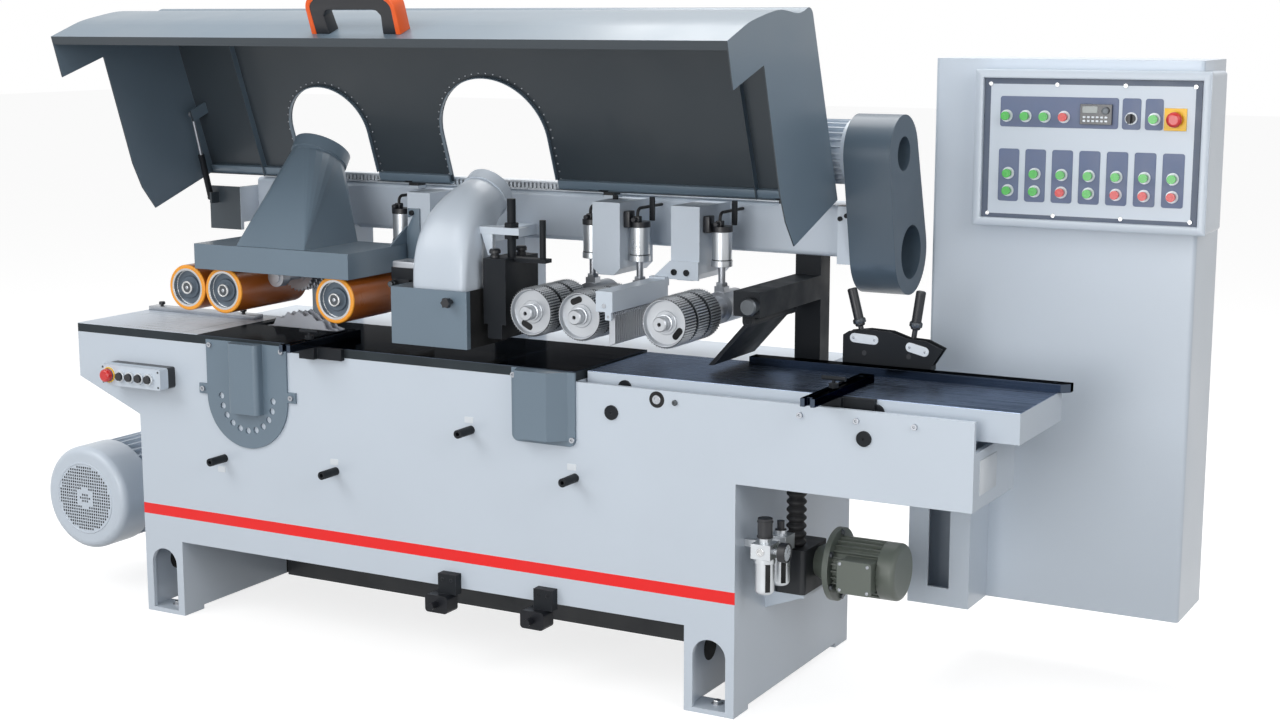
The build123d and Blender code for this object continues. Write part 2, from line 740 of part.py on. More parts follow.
def guide_bar(x, y0, y1, seat_z):
    """Slotted bar across a table with a notched front end."""
    half = GUIDE_W / 2
    z0 = seat_z + REST_GAP
    bar = block(x - half, x + half, y0, y1, z0, z0 + GUIDE_T)
    slot_y0 = y0 + GUIDE_SLOT_INSET
    slot_y1 = y1 - GUIDE_SLOT_INSET
    bar -= block(x - GUIDE_SLOT_R, x + GUIDE_SLOT_R, slot_y0, slot_y1, 0, 2 * seat_z)
    for y in (slot_y0, slot_y1):
        bar -= rod_z(GUIDE_SLOT_R, 0, 2 * seat_z, x, y)
    notch = GUIDE_NOTCH_W / 2
    bar -= block(x - notch, x + notch, y0 - GUIDE_NOTCH_L, y0 + GUIDE_NOTCH_L, 0, 2 * seat_z)
    return bar


def guide_clamp(x, edge_y, seat_z):
    """Bracket on a table edge with a stud and a T-handle above the bar."""
    y0 = edge_y - CLAMP_DEPTH
    bracket = block(x - CLAMP_SIDE, x + CLAMP_TAIL, y0, edge_y, seat_z - CLAMP_H, seat_z)
    stud_y = edge_y - CLAMP_DEPTH / 2
    bracket -= block(x + CLAMP_SIDE, x + 2 * CLAMP_TAIL, y0 - CLAMP_H, stud_y, 0, 2 * seat_z)
    bar_top = seat_z + REST_GAP + GUIDE_T
    stud_top = bar_top + CLAMP_POST
    stud = rod_z(CLAMP_STUD_R, seat_z - CLAMP_H / 2, stud_top, x, stud_y)
    stud += rod_z(CLAMP_NUT_R, bar_top + REST_GAP, bar_top + CLAMP_POST / 2, x, stud_y)
    half = CLAMP_BAR_L / 2
    handle = rod_x(CLAMP_BAR_R, x - half, x + half, stud_y, stud_top)
    return bracket + stud + handle


def saw_cover():
    """Round-bottomed cover over the saw opening, with a raised rib and vent holes."""
    back = -BASE_Y
    face = back - COVER_T
    plate = rod_y(SAW_COVER_R, face, back, ARBOR_X, SAW_COVER_Z)
    plate += block(ARBOR_X - SAW_COVER_R, ARBOR_X + SAW_COVER_R, face, back, SAW_COVER_Z, SAW_COVER_TOP)
    rib = block(SAW_RIB_X0, SAW_RIB_X1, back - SAW_RIB_PROUD, back, SAW_RIB_Z, SAW_COVER_TOP)
    front_edges = rib.edges().filter_by(Axis.Z).sort_by(Axis.Y)[:2]
    rib = fillet(front_edges, SAW_RIB_ROUND)
    plate += rib
    half_tab = SAW_TAB_W / 2
    reach = SAW_COVER_R + SAW_TAB_OUT
    plate += block(ARBOR_X - reach, ARBOR_X + reach, face, back, SAW_TAB_Z - half_tab, SAW_TAB_Z + half_tab)
    for i in range(SAW_HOLES):
        turn = -90 - SAW_HOLE_SPAN / 2 + SAW_HOLE_SPAN * i / (SAW_HOLES - 1)
        x = ARBOR_X + SAW_HOLE_RING * math.cos(math.radians(turn))
        z = SAW_COVER_Z + SAW_HOLE_RING * math.sin(math.radians(turn))
        if z < SAW_RIB_Z or x < SAW_RIB_X0 or x > SAW_RIB_X1:
            plate -= rod_y(SAW_HOLE_R, face - COVER_T, back + COVER_T, x, z)
    return plate


def cutter_cover():
    """Cover with a raised centre and a sloped side."""
    back = -BASE_Y
    face = back - COVER_T
    flange = block(CUTTER_X0, CUTTER_X1, face, back, CUTTER_Z0, CUTTER_Z1)
    low_edges = flange.edges().filter_by(Axis.Y).sort_by(Axis.Z)[:2]
    cover = fillet(low_edges, CUTTER_ROUND)
    x0 = CUTTER_X0 + CUTTER_FLANGE
    x1 = CUTTER_X1 - CUTTER_FLANGE
    outline = [(x0, back), (x0 + CUTTER_LEFT_SLOPE, back - CUTTER_PROUD)]
    outline += [(x1 - CUTTER_RIGHT_SLOPE, back - CUTTER_PROUD), (x1, back)]
    cover += prism_z(outline, CUTTER_Z0 + CUTTER_FLANGE, CUTTER_Z1)
    return cover


def socket_screw(x, y, z):
    """Cap screw seen from the front, head standing on the face at y."""
    head = rod_y(SCREW_HEAD_R, y - SCREW_HEAD_H, y, x, z)
    hexagon = RegularPolygon(SCREW_SOCKET_R, 6)
    recess = Pos(x, y - SCREW_HEAD_H, z) * Rot(-90, 0, 0) * extrude(hexagon, SCREW_SOCKET_D)
    return head - recess


def screws():
    """All cap screws of the covers and the arm plate as one group."""
    face = -BASE_Y - COVER_T
    reach = SAW_COVER_R + SAW_TAB_OUT / 2
    spots = [(ARBOR_X - reach, face, SAW_TAB_Z), (ARBOR_X + reach, face, SAW_TAB_Z)]
    corner = SAW_COVER_R - 2 * SCREW_HEAD_R
    corner_z = SAW_COVER_TOP - 2 * SCREW_HEAD_R
    spots += [(ARBOR_X - corner, face, corner_z), (ARBOR_X + corner, face, corner_z)]
    low_z = CUTTER_Z0 + CUTTER_ROUND
    side = CUTTER_FLANGE / 2
    spots += [(CUTTER_X0 + side, face, CUTTER_Z1 - low_z + CUTTER_Z0), (CUTTER_X1 - side, face, low_z)]
    for share in (0.28, 0.52, 0.76):
        spots.append((BASE_X + share * (ARM_END_X - BASE_X), -BASE_Y, DECK_Z - 2 * PLATE))
    return Compound(children=[socket_screw(*spot) for spot in spots])


def adjuster(x, z):
    """Adjusting rod with a hexagon socket and a collar behind the front plate."""
    front = -BASE_Y - ADJUSTER_OUT
    inside = -BASE_Y + PLATE + REST_GAP
    rod = rod_y(ADJUSTER_R, front, inside + ADJUSTER_COLLAR_L, x, z)
    rod += rod_y(ADJUSTER_COLLAR_R, inside, inside + ADJUSTER_COLLAR_L, x, z)
    socket = extrude(RegularPolygon(ADJUSTER_HEX, 6), ADJUSTER_HEX_D)
    rod -= Pos(x, front, z) * Rot(-90, 0, 0) * socket
    return rod


def crank_unit(x):
    """Small bracket under the front plate with a crank housing and a stub."""
    back = -BASE_Y
    plate = block(x, x + CRANK_PLATE_W, back - CRANK_PLATE_T, back, BASE_BOTTOM, CRANK_PLATE_Z1)
    plate += block(x, x + CRANK_PLATE_W, back - CRANK_PLATE_T, back, CRANK_PLATE_Z0, BASE_BOTTOM)
    x0 = x - CRANK_SHIFT
    body = block(x0, x0 + CRANK_BODY_W, back - CRANK_BODY_D, back, CRANK_BODY_Z0, CRANK_PLATE_Z0)
    body = fillet(body.edges().filter_by(Axis.Y), CRANK_STUB_R)
    xc = x0 + CRANK_BODY_W / 2
    zc = (CRANK_BODY_Z0 + CRANK_PLATE_Z0) / 2
    front = back - CRANK_BODY_D
    body += rod_y(CRANK_STUB_R, front - CRANK_STUB_L, front, xc, zc)
    return plate + body


def crank_units():
    """The two crank stations as one group."""
    return Compound(children=[crank_unit(x) for x in CRANK_XS])


def push_button(x, y, z):
    """Round push button whose cap stands clear of the face at y by its travel."""
    seat = y - PUSH - PUSH_REST
    button = rod_y(CAP_R, seat - CAP_L, seat, x, z)
    return button + rod_y(STEM_R, seat - CAP_L / 2, y + STEM_L, x, z)


def mushroom(x, y, z):
    """Mushroom button whose head stands clear of the face at y by its travel."""
    seat = y - ESTOP_PUSH - PUSH_REST
    head = rod_y(ESTOP_R, seat - ESTOP_L, seat, x, z)
    head = fillet(head.edges().sort_by(Axis.Y)[:1], ESTOP_L / 2)
    return head + rod_y(STEM_R, seat - ESTOP_L / 2, y + STEM_L, x, z)


def stem_bore(x, y, z):
    """Bore for a button stem behind the face at y, with room for its travel."""
    depth = STEM_L + ESTOP_PUSH + PUSH_REST
    return rod_y(STEM_R + SLIDE_FIT, y - STEM_L, y + depth, x, z)


def pendant_box():
    """Left operator box on the front plate."""
    front = -BASE_Y - PENDANT_D
    box = block(PENDANT_X0, PENDANT_X1, front, -BASE_Y, PENDANT_Z0, PENDANT_Z1)
    box = fillet(box.edges().filter_by(Axis.Y), STEM_R)
    zc = (PENDANT_Z0 + PENDANT_Z1) / 2
    for x in PENDANT_BUTTON_XS + [PENDANT_ESTOP_X]:
        box -= stem_bore(x, front, zc)
    return box


def pendant_buttons():
    """The four black buttons of the operator box as one group."""
    front = -BASE_Y - PENDANT_D
    zc = (PENDANT_Z0 + PENDANT_Z1) / 2
    return Compound(children=[push_button(x, front, zc) for x in PENDANT_BUTTON_XS])


def pendant_estop():
    """Stop button of the operator box."""
    return mushroom(PENDANT_ESTOP_X, -BASE_Y - PENDANT_D, (PENDANT_Z0 + PENDANT_Z1) / 2)


def finned_y(radius, root, count, thick, y0, y1, x, z):
    """Round motor body along Y with straight cooling fins."""
    body = rod_y(root, y0, y1, x, z)
    for i in range(count):
        fin = block(root - thick, radius, y0, y1, -thick / 2, thick / 2)
        body += Pos(x, 0, z) * Rot(0, 360 * i / count, 0) * fin
    return body


def finned_x(radius, root, count, thick, x0, x1, y, z):
    """Round motor body along X with straight cooling fins."""
    body = rod_x(root, x0, x1, y, z)
    for i in range(count):
        fin = block(x0, x1, root - thick, radius, -thick / 2, thick / 2)
        body += Pos(0, y, z) * Rot(360 * i / count, 0, 0) * fin
    return body


def saw_motor():
    """Finned motor with a perforated fan cowl, on a foot against the left wall."""
    x = SAW_MOTOR_X
    z = SAW_MOTOR_Z
    cowl_end = SAW_MOTOR_FRONT + SAW_COWL_L
    bell = SAW_MOTOR_REAR - SAW_BELL_L
    cowl = rod_y(SAW_MOTOR_R, SAW_MOTOR_FRONT, cowl_end, x, z)
    cowl = fillet(cowl.edges().sort_by(Axis.Y)[:1], SAW_BELL_L / 2)
    fin_r = SAW_MOTOR_R - SAW_FIN_T
    body = finned_y(fin_r, SAW_BODY_R, SAW_FINS, SAW_FIN_T, cowl_end, bell, x, z)
    body += rod_y(SAW_BODY_R, bell, SAW_MOTOR_REAR, x, z)
    body += rod_y(2 * LOWER_SHAFT_R, SAW_MOTOR_REAR, SAW_MOTOR_REAR + SAW_BELL_L, x, z)
    body += block(x, -BASE_X, SAW_FOOT_Y0, SAW_FOOT_Y1, SAW_FOOT_Z0, SAW_FOOT_Z1)
    pad_x = -BASE_X - SAW_FLANGE_T
    pad_y0 = SAW_FOOT_Y0 - FLANGE / 2
    pad_y1 = SAW_FOOT_Y1 + FLANGE / 2
    body += block(pad_x, -BASE_X, pad_y0, pad_y1, SAW_FLANGE_Z0, SAW_FLANGE_Z1)
    return cowl + body


def saw_blades(radius, depth, x, z):
    """Toothed blades of one arbor, side by side."""
    blades = None
    half = BLADE_T / 2
    for y in BLADE_YS:
        blade = prism_y(ring_points(BLADE_TEETH, radius, radius - depth, x, z), y - half, y + half)
        blades = blade if blades is None else blades + blade
    return blades


def lower_arbor():
    """Lower saw shaft with blades, spacers and a front nut."""
    x = ARBOR_X
    z = LOWER_ARBOR_Z
    front = min(BLADE_YS) - COLLAR_R
    shaft = rod_y(LOWER_SHAFT_R, front, REAR_WALL_Y - SHAFT_END_GAP, x, z)
    spacer_end = LOWER_HOUSING_FRONT - REST_GAP
    shaft += rod_y(COLLAR_R, min(BLADE_YS) - BLADE_T, spacer_end, x, z)
    shaft += rod_y(NUT_R, front + BLADE_T, min(BLADE_YS), x, z)
    return shaft + saw_blades(BLADE_R, TOOTH_DEPTH, x, z)


def upper_arbor():
    """Upper saw shaft with small blades, spacers and a long front nut."""
    x = ARBOR_X
    z = UPPER_ARBOR_Z
    front = min(BLADE_YS) - 3 * COLLAR_R
    shaft = rod_y(UPPER_SHAFT_R, front, UPPER_HOUSING_REAR - SHAFT_END_GAP, x, z)
    shaft += rod_y(NUT_R, min(BLADE_YS) - BLADE_T, UPPER_HOUSING_FRONT - REST_GAP, x, z)
    shaft += rod_y(NUT_R, front + BLADE_T, front + COLLAR_R, x, z)
    return shaft + saw_blades(UPPER_BLADE_R, UPPER_TOOTH_DEPTH, x, z)


def feed_beam():
    """Hollow beam on two posts, with cylinder boxes, hinge lugs and arbor housing."""
    beam = block(BEAM_X0, BEAM_X1, BEAM_Y0, BEAM_Y1, BEAM_Z0, BEAM_Z1)
    beam = fillet(beam.edges().filter_by(Axis.X), BEAM_ROUND)
    w = BEAM_WALL
    beam -= block(BEAM_X0 - w, BEAM_X1 + w, BEAM_Y0 + w, BEAM_Y1 - w, BEAM_Z0 + w, BEAM_Z1 - w)
    for x0, x1 in POST_SPANS:
        beam += block(x0, x1, POST_Y0, POST_Y1, DECK_Z, BEAM_Z0 + w)
    for x0, x1 in BOX_SPANS:
        outline = [(x0, BOX_Z1), (x1, BOX_Z1), (x1, BOX_Z0 + BOX_CUT), (x1 - BOX_CUT, BOX_Z0)]
        outline += [(x0 + BOX_CUT, BOX_Z0), (x0, BOX_Z0 + BOX_CUT)]
        beam += prism_y(outline, BOX_FRONT_Y, BEAM_Y0 + BOX_SINK)
    housing = rod_y(HOUSING_R, UPPER_HOUSING_FRONT, UPPER_HOUSING_REAR, ARBOR_X, UPPER_ARBOR_Z)
    half = ARBOR_WEB / 2
    web = block(ARBOR_X - half, ARBOR_X + half, half, UPPER_HOUSING_REAR, UPPER_ARBOR_Z, BEAM_Z0 + w)
    beam += housing + web
    beam -= rod_y(UPPER_SHAFT_R + RUN_FIT, -HOUSING_R, UPPER_HOUSING_REAR, ARBOR_X, UPPER_ARBOR_Z)
    beam += block(BEAM_X1 - w, BEAM_X1, BEAM_Y0 + w, BEAM_Y1 - w, BEAM_Z0 + w, BEAM_Z1 - w)
    beam += block(BEAM_X1, END_X, END_Y0, BEAM_Y1, END_Z0, END_Z1)
    half = HINGE_W / 2
    for x in HINGE_XS:
        lug = block(x - half, x + half, HINGE_Y, BEAM_Y0 + 2 * BEAM_ROUND, BEAM_Z1 - w, HINGE_Z)
        lug -= block(x - HINGE_W, x + HINGE_W, 0, HINGE_Y + HINGE_EYE_R, 0, HINGE_Z - HINGE_EYE_R)
        lug += rod_x(HINGE_EYE_R, x - half, x + half, HINGE_Y, HINGE_Z)
        lug -= rod_x(HINGE_PIN_R + RUN_FIT, x - HINGE_W, x + HINGE_W, HINGE_Y, HINGE_Z)
        beam += lug
    plate_y1 = STRUT_PLATE_Y + PLATE
    strut_plate = block(STRUT_PLATE_X0, BEAM_X0, STRUT_PLATE_Y, plate_y1, STRUT_PLATE_Z0, STRUT_PLATE_Z1)
    end_y1 = BEAM_Y1 - BEAM_ROUND
    end_z0 = BEAM_Z0 + w / 2
    strut_plate += block(BEAM_X0 - PLATE, BEAM_X0, STRUT_PLATE_Y, end_y1, end_z0, STRUT_PLATE_Z1)
    lug_x0 = STRUT_X + STRUT_TUBE_R + PIN_GAP
    lug_x1 = lug_x0 + STRUT_LUG_T
    eye = 2 * STRUT_EYE_R
    lug = block(lug_x0, lug_x1, STRUT_FOOT_Y - eye, STRUT_PLATE_Y, STRUT_FOOT_Z - eye, STRUT_FOOT_Z + eye)
    pin = rod_x(STRUT_PIN_R, STRUT_X - STRUT_EYE_W / 2, lug_x1, STRUT_FOOT_Y, STRUT_FOOT_Z)
    return beam + strut_plate + lug + pin


def roller_core(x, z, out):
    """Shaft of a feed roller with its nose, which stands out of the front face by out."""
    shaft = rod_y(FEED_SHAFT_R, ROLLER_FRONT, BEARING_Y1 - SHAFT_END_GAP, x, z)
    nose = rod_y(NOSE_R, ROLLER_FRONT - out, ROLLER_FRONT + DISH_D, x, z)
    nose = chamfer(nose.edges().sort_by(Axis.Y)[:1], NOSE_R / 6)
    return shaft + nose


def roller_dish(x, z):
    """Recess in the front face of a roller, around its nose."""
    return rod_y(DISH_R, ROLLER_FRONT - DISH_D, ROLLER_FRONT + DISH_D, x, z)


def knurled_roller(x, turn):
    """Three toothed steel wheels on one shaft, front wheel dished and slotted."""
    z = KNURLED_Z
    length = KNURLED_REAR - ROLLER_FRONT
    width = (length - (KNURLED_WHEELS - 1) * KNURLED_GAP) / KNURLED_WHEELS
    body = rod_y(KNURLED_ROOT, ROLLER_FRONT, KNURLED_REAR, x, z)
    outline = ring_points(KNURLED_TEETH, KNURLED_R, KNURLED_R - KNURL_DEPTH, x, z)
    for i in range(KNURLED_WHEELS):
        y0 = ROLLER_FRONT + i * (width + KNURLED_GAP)
        body += prism_y(outline, y0, y0 + width)
    body -= roller_dish(x, z)
    ring = (NOSE_R + DISH_R) / 2
    slot = extrude(SlotCenterToCenter(ring, DISH_R - ring - BLADE_T), DISH_D)
    slot = Rot(0, 0, turn) * Pos(0, ring, 0) * slot
    body -= Pos(x, ROLLER_FRONT + 2 * DISH_D, z) * Rot(90, 0, 0) * slot
    return body + roller_core(x, z, NOSE_OUT)


def rubber_roller(x):
    """Rubber-covered feed roller, front face dished."""
    body = rod_y(RUBBER_R, ROLLER_FRONT, ROLLER_REAR, x, RUBBER_Z)
    body = fillet(body.edges(), BLADE_T)
    body -= roller_dish(x, RUBBER_Z)
    return body + roller_core(x, RUBBER_Z, RUBBER_NOSE_OUT)


def press_unit(xs, z, roller_rear):
    """Bearing housings of one press up to its rollers, their bridge and the cylinder rod."""
    xc = sum(xs) / len(xs)
    sleeve_y0 = roller_rear + SLEEVE_GAP
    unit = rod_y(BEARING_R, BEARING_Y0, BEARING_Y1, xs[0], z)
    unit += rod_y(SLEEVE_R, sleeve_y0, BEARING_Y1, xs[0], z)
    for x in xs[1:]:
        unit += rod_y(BEARING_R, BEARING_Y0, BEARING_Y1, x, z)
        unit += rod_y(SLEEVE_R, sleeve_y0, BEARING_Y1, x, z)
        half = PRESS_BRIDGE_H / 2
        unit += block(xs[0], x, BEARING_Y0, BEARING_Y1, z - half, z + half)
    half_w = CLEVIS_W / 2
    half_d = CLEVIS_D / 2
    unit += block(xc - half_w, xc + half_w, CYLINDER_Y - half_d, CYLINDER_Y + half_d, z, CLEVIS_TOP)
    unit += rod_z(PRESS_ROD_R, CLEVIS_TOP - half_w, PRESS_ROD_TOP, xc, CYLINDER_Y)
    for x in xs:
        unit -= rod_y(FEED_SHAFT_R + RUN_FIT, sleeve_y0 - BEARING_R, BEARING_Y1 + BEARING_R, x, z)
    return unit


def press_xs():
    """Middle of each press along the machine."""
    return KNURLED_XS + [sum(RUBBER_XS[:2]) / 2, RUBBER_XS[2]]


def press_cylinder(x):
    """Air cylinder with end caps, a fitting and a plate to the nearest box."""
    half = CYLINDER_R
    barrel = rod_z(CYLINDER_R, CYLINDER_Z0, CYLINDER_Z1, x, CYLINDER_Y)
    for z in (CYLINDER_Z0, CYLINDER_Z1 - CYLINDER_CAP):
        barrel += rod_z(CYLINDER_CAP_R, z, z + CYLINDER_CAP, x, CYLINDER_Y)
    barrel += rod_z(FITTING_R, CYLINDER_Z1 - FITTING_H, CYLINDER_Z1 + FITTING_H, x, TUBE_Y)
    faces = [edge for span in BOX_SPANS for edge in span]
    face_x = min(faces, key=lambda edge: abs(edge - x))
    x0 = min(x, face_x)
    x1 = max(x, face_x)
    z1 = CYLINDER_Z1
    barrel += block(x0, x1, CYLINDER_Y, CYLINDER_Y + half, z1 - BRACKET_T, z1)
    barrel -= rod_z(PRESS_ROD_R + SLIDE_FIT, CYLINDER_Z0 - CYLINDER_CAP, CYLINDER_BORE_TOP, x, CYLINDER_Y)
    return barrel


def press_cylinders():
    """The five air cylinders as one group."""
    return Compound(children=[press_cylinder(x) for x in press_xs()])


def air_tube(x):
    """Air tube from a cylinder fitting up and back to the beam."""
    start = CYLINDER_Z1 + FITTING_H
    top = CYLINDER_Z1 + TUBE_RISE
    points = [(x, TUBE_Y, start), (x, TUBE_Y, top), (x, BEAM_Y0, top)]
    path = FilletPolyline(*points, radius=TUBE_BEND)
    return sweep(Plane(origin=points[0], z_dir=(0, 0, 1)) * Circle(TUBE_R), path=path)


def air_tubes():
    """The five air tubes as one group."""
    return Compound(children=[air_tube(x) for x in press_xs()])


def finger_bar():
    """Bar that carries the fingers, on a slotted plate against a box."""
    plate_y1 = BOX_FRONT_Y
    plate_y0 = plate_y1 - FINGER_PLATE_T
    bar = block(FINGER_BAR_X0, FINGER_BAR_X1, FINGER_BAR_Y0, plate_y0, FINGER_BAR_Z0, FINGER_BAR_Z1)
    box_x0, box_x1 = BOX_SPANS[1]
    outline = [(FINGER_BAR_X0, FINGER_PLATE_Z0), (box_x1, FINGER_PLATE_Z0), (box_x1, FINGER_PLATE_Z1)]
    outline += [(box_x0, FINGER_PLATE_Z1)]
    bar += prism_y(outline, plate_y0, plate_y1)
    neck_y0 = plate_y0 - FINGER_NECK_D
    neck_z1 = FINGER_PLATE_Z0 + FINGER_PLATE_T
    bar += block(FINGER_BAR_X0, FINGER_BAR_X1, neck_y0, plate_y1, FINGER_NECK_Z0, neck_z1)
    eye = FINGER_HALF + REST_GAP
    for y0 in (FINGER_BAR_Y0, plate_y0 - FINGER_LUG_T):
        y1 = y0 + FINGER_LUG_T
        bar += block(FINGER_X - eye, FINGER_X + eye, y0, y1, FINGER_PIVOT_Z - eye, FINGER_BAR_Z0)
        bar -= rod_y(FINGER_PIN_R + RUN_FIT, y0 - eye, y1 + eye, FINGER_X, FINGER_PIVOT_Z)
    return bar


def kickback_fingers():
    """Row of hanging fingers on one pin."""
    plate_y0 = BOX_FRONT_Y - FINGER_PLATE_T
    pin_y0 = FINGER_BAR_Y0 + REST_GAP
    pin_y1 = plate_y0 - REST_GAP
    row = rod_y(FINGER_PIN_R, pin_y0, pin_y1, FINGER_X, FINGER_PIVOT_Z)
    span = (FINGER_COUNT - 1) * FINGER_PITCH + FINGER_T
    first = (pin_y0 + pin_y1 - span) / 2
    half = FINGER_HALF
    outline = [(FINGER_X - half, FINGER_PIVOT_Z), (FINGER_X - half / 2, FINGER_PIVOT_Z + half)]
    outline += [(FINGER_X + half / 2, FINGER_PIVOT_Z + half), (FINGER_X + half, FINGER_PIVOT_Z)]
    outline += [(FINGER_X + half, FINGER_TIP_Z + half), (FINGER_X - half, FINGER_TIP_Z)]
    for i in range(FINGER_COUNT):
        y = first + i * FINGER_PITCH
        row += prism_y(outline, y, y + FINGER_T)
    return row


def kickback_frame():
    """Black column and arm with the lugs of the flap."""
    frame = block(KICK_X0, KICK_X1, KICK_Y0, KICK_Y1, DECK_Z, BEAM_Z0)
    frame += block(KICK_X0, KICK_X1, KICK_ARM_FRONT, KICK_Y1, KICK_ARM_Z0, KICK_ARM_Z1)
    front = KICK_ARM_FRONT - KICK_KNOB_L
    knob = rod_y(KICK_KNOB_R, front, KICK_ARM_FRONT, KICK_KNOB_X, KICK_KNOB_Z)
    frame += chamfer(knob.edges().sort_by(Axis.Y)[:1], BLADE_T)
    for y0 in (FLAP_Y0 - FLAP_LUG_T - REST_GAP, FLAP_Y1 + REST_GAP):
        y1 = y0 + FLAP_LUG_T
        lug = rod_y(FLAP_EYE_R, y0, y1, FLAP_X, FLAP_Z)
        lug += block(FLAP_X - FLAP_EYE_R, FLAP_X + FLAP_EYE_R, y0, y1, FLAP_Z, KICK_ARM_Z0)
        frame += lug
        frame -= rod_y(FLAP_PIN_R + RUN_FIT, y0 - FLAP_LUG_T, y1 + FLAP_LUG_T, FLAP_X, FLAP_Z)
    return frame


def kickback_flap():
    """Angled flap on a pin, hanging towards the feed."""
    length = math.hypot(FLAP_X - FLAP_TIP_X, FLAP_Z - FLAP_TIP_Z)
    lean = math.degrees(math.atan2(FLAP_X - FLAP_TIP_X, FLAP_Z - FLAP_TIP_Z))
    half = FLAP_T / 2
    outline = [(-half, 0), (half, 0), (half, -length + FLAP_T), (-half, -length)]
    leaf = prism_y(outline, FLAP_Y0, FLAP_Y1)
    leaf += rod_y(FLAP_EYE_R - REST_GAP, FLAP_Y0, FLAP_Y1, 0, 0)
    leaf = Pos(FLAP_X, 0, FLAP_Z) * Rot(0, lean, 0) * leaf
    pin_y0 = FLAP_Y0 - FLAP_LUG_T
    pin_y1 = FLAP_Y1 + FLAP_LUG_T
    return leaf + rod_y(FLAP_PIN_R, pin_y0, pin_y1, FLAP_X, FLAP_Z)


def section_points(width, depth, corner):
    """Points around a rounded rectangle: one on each flat, five on each corner."""
    flats = [(width / 2, 0), (0, depth / 2), (-width / 2, 0), (0, -depth / 2)]
    signs = [(1, 1), (-1, 1), (-1, -1), (1, -1)]
    points = []
    for quarter, (side_x, side_y) in enumerate(signs):
        points.append(flats[quarter])
        for step in range(5):
            turn = math.radians(90 * quarter + 9 + 18 * step)
            x = side_x * (width / 2 - corner) + corner * math.cos(turn)
            y = side_y * (depth / 2 - corner) + corner * math.sin(turn)
            points.append((x, y))
    return points


def lofted(stations, shrink):
    """Loft a duct through leaning rounded sections, all drawn smaller by shrink."""
    sections = []
    for x, y, z, lean, width, depth, corner in stations:
        turn = math.radians(lean)
        plane = Plane(origin=(x, y, z), x_dir=(1, 0, 0), z_dir=(0, math.sin(turn), math.cos(turn)))
        w = width - 2 * shrink
        d = depth - 2 * shrink
        r = min(max(corner - shrink, shrink), min(w, d) / 2)
        sections.append(plane * make_face(Spline(*section_points(w, d, r), periodic=True)))
    return loft(sections)


def collar(x, y, z, lean, radius, length):
    """Return a round collar that ends at a point, along a direction leaning back."""
    turn = math.radians(lean)
    step = length / 2
    centre = Pos(x, y - step * math.sin(turn), z - step * math.cos(turn))
    return centre * Rot(-lean, 0, 0) * Cylinder(radius, length)


def ported(x, y, z, lean, radius):
    """Hose collar on a narrower neck, ending at a point, and its bore."""
    solid = collar(x, y, z, lean, radius, PORT_COLLAR)
    solid += collar(x, y, z, lean, radius - SHEET, PORT_COLLAR + PORT_NECK)
    bore = collar(x, y, z, lean, radius - 2 * SHEET, PORT_COLLAR + PORT_NECK)
    return solid, bore


def port_root(y, z, lean, extra):
    """Point inside the neck of a port where its duct ends, nearer the tip by extra."""
    turn = math.radians(lean)
    reach = PORT_COLLAR + PORT_NECK - PORT_INSET - extra
    return y - reach * math.sin(turn), z - reach * math.cos(turn)


def chip_stations(extra):
    """Sections of the chip hood from its mouth to its port, longer by extra at both ends."""
    y, width, depth, corner = CHIP_MOUTH
    stations = [(CHIP_X, y, CHIP_Z - extra, 0.0, width, depth, corner)]
    stations += [(CHIP_X, *bend) for bend in CHIP_BENDS]
    end_y, end_z = port_root(CHIP_PORT_Y, CHIP_PORT_Z, CHIP_PORT_LEAN, extra)
    end = 2 * (CHIP_PORT_R - 1.25 * SHEET)
    stations.append((CHIP_X, end_y, end_z, CHIP_PORT_LEAN, end, end, end / 2))
    return stations


def chip_hood():
    """White duct over the top cutter, with its stay and the screw bracket."""
    outer = lofted(chip_stations(0.0), 0.0)
    half = CHIP_STAY_W / 2
    stay_y0 = CHIP_BENDS[-1][0]
    stay_z0 = BEAM_Z0 + PLATE
    stay = block(CHIP_X - half, CHIP_X + half, stay_y0, BEAM_Y0, stay_z0, stay_z0 + CHIP_STAY_H)
    bracket_y0 = SHOE_ROD_Y - 2 * SHOE_ROD_R
    bracket_y1 = SHOE_ROD_Y + 2 * SHOE_ROD_R
    bracket = block(CHIP_X, SHOE_BRACKET_X1, bracket_y0, bracket_y1, SHOE_BRACKET_Z0, SHOE_BRACKET_Z1)
    lug_x1 = CHIP_COVER_X1 - SHEET
    lug = block(CHIP_X, lug_x1, bracket_y0, bracket_y1, CHIP_Z, CHIP_COVER_Z1)
    port, bore = ported(CHIP_X, CHIP_PORT_Y, CHIP_PORT_Z, CHIP_PORT_LEAN, CHIP_PORT_R)
    body = outer + stay + bracket + lug + port
    body -= lofted(chip_stations(SHEET), SHEET)
    body -= bore
    bore_z0 = SHOE_BRACKET_Z0 - PLATE
    bore_z1 = SHOE_BRACKET_Z1 + PLATE
    return body - rod_z(SHOE_ROD_R + SLIDE_FIT, bore_z0, bore_z1, SHOE_ROD_X, SHOE_ROD_Y)


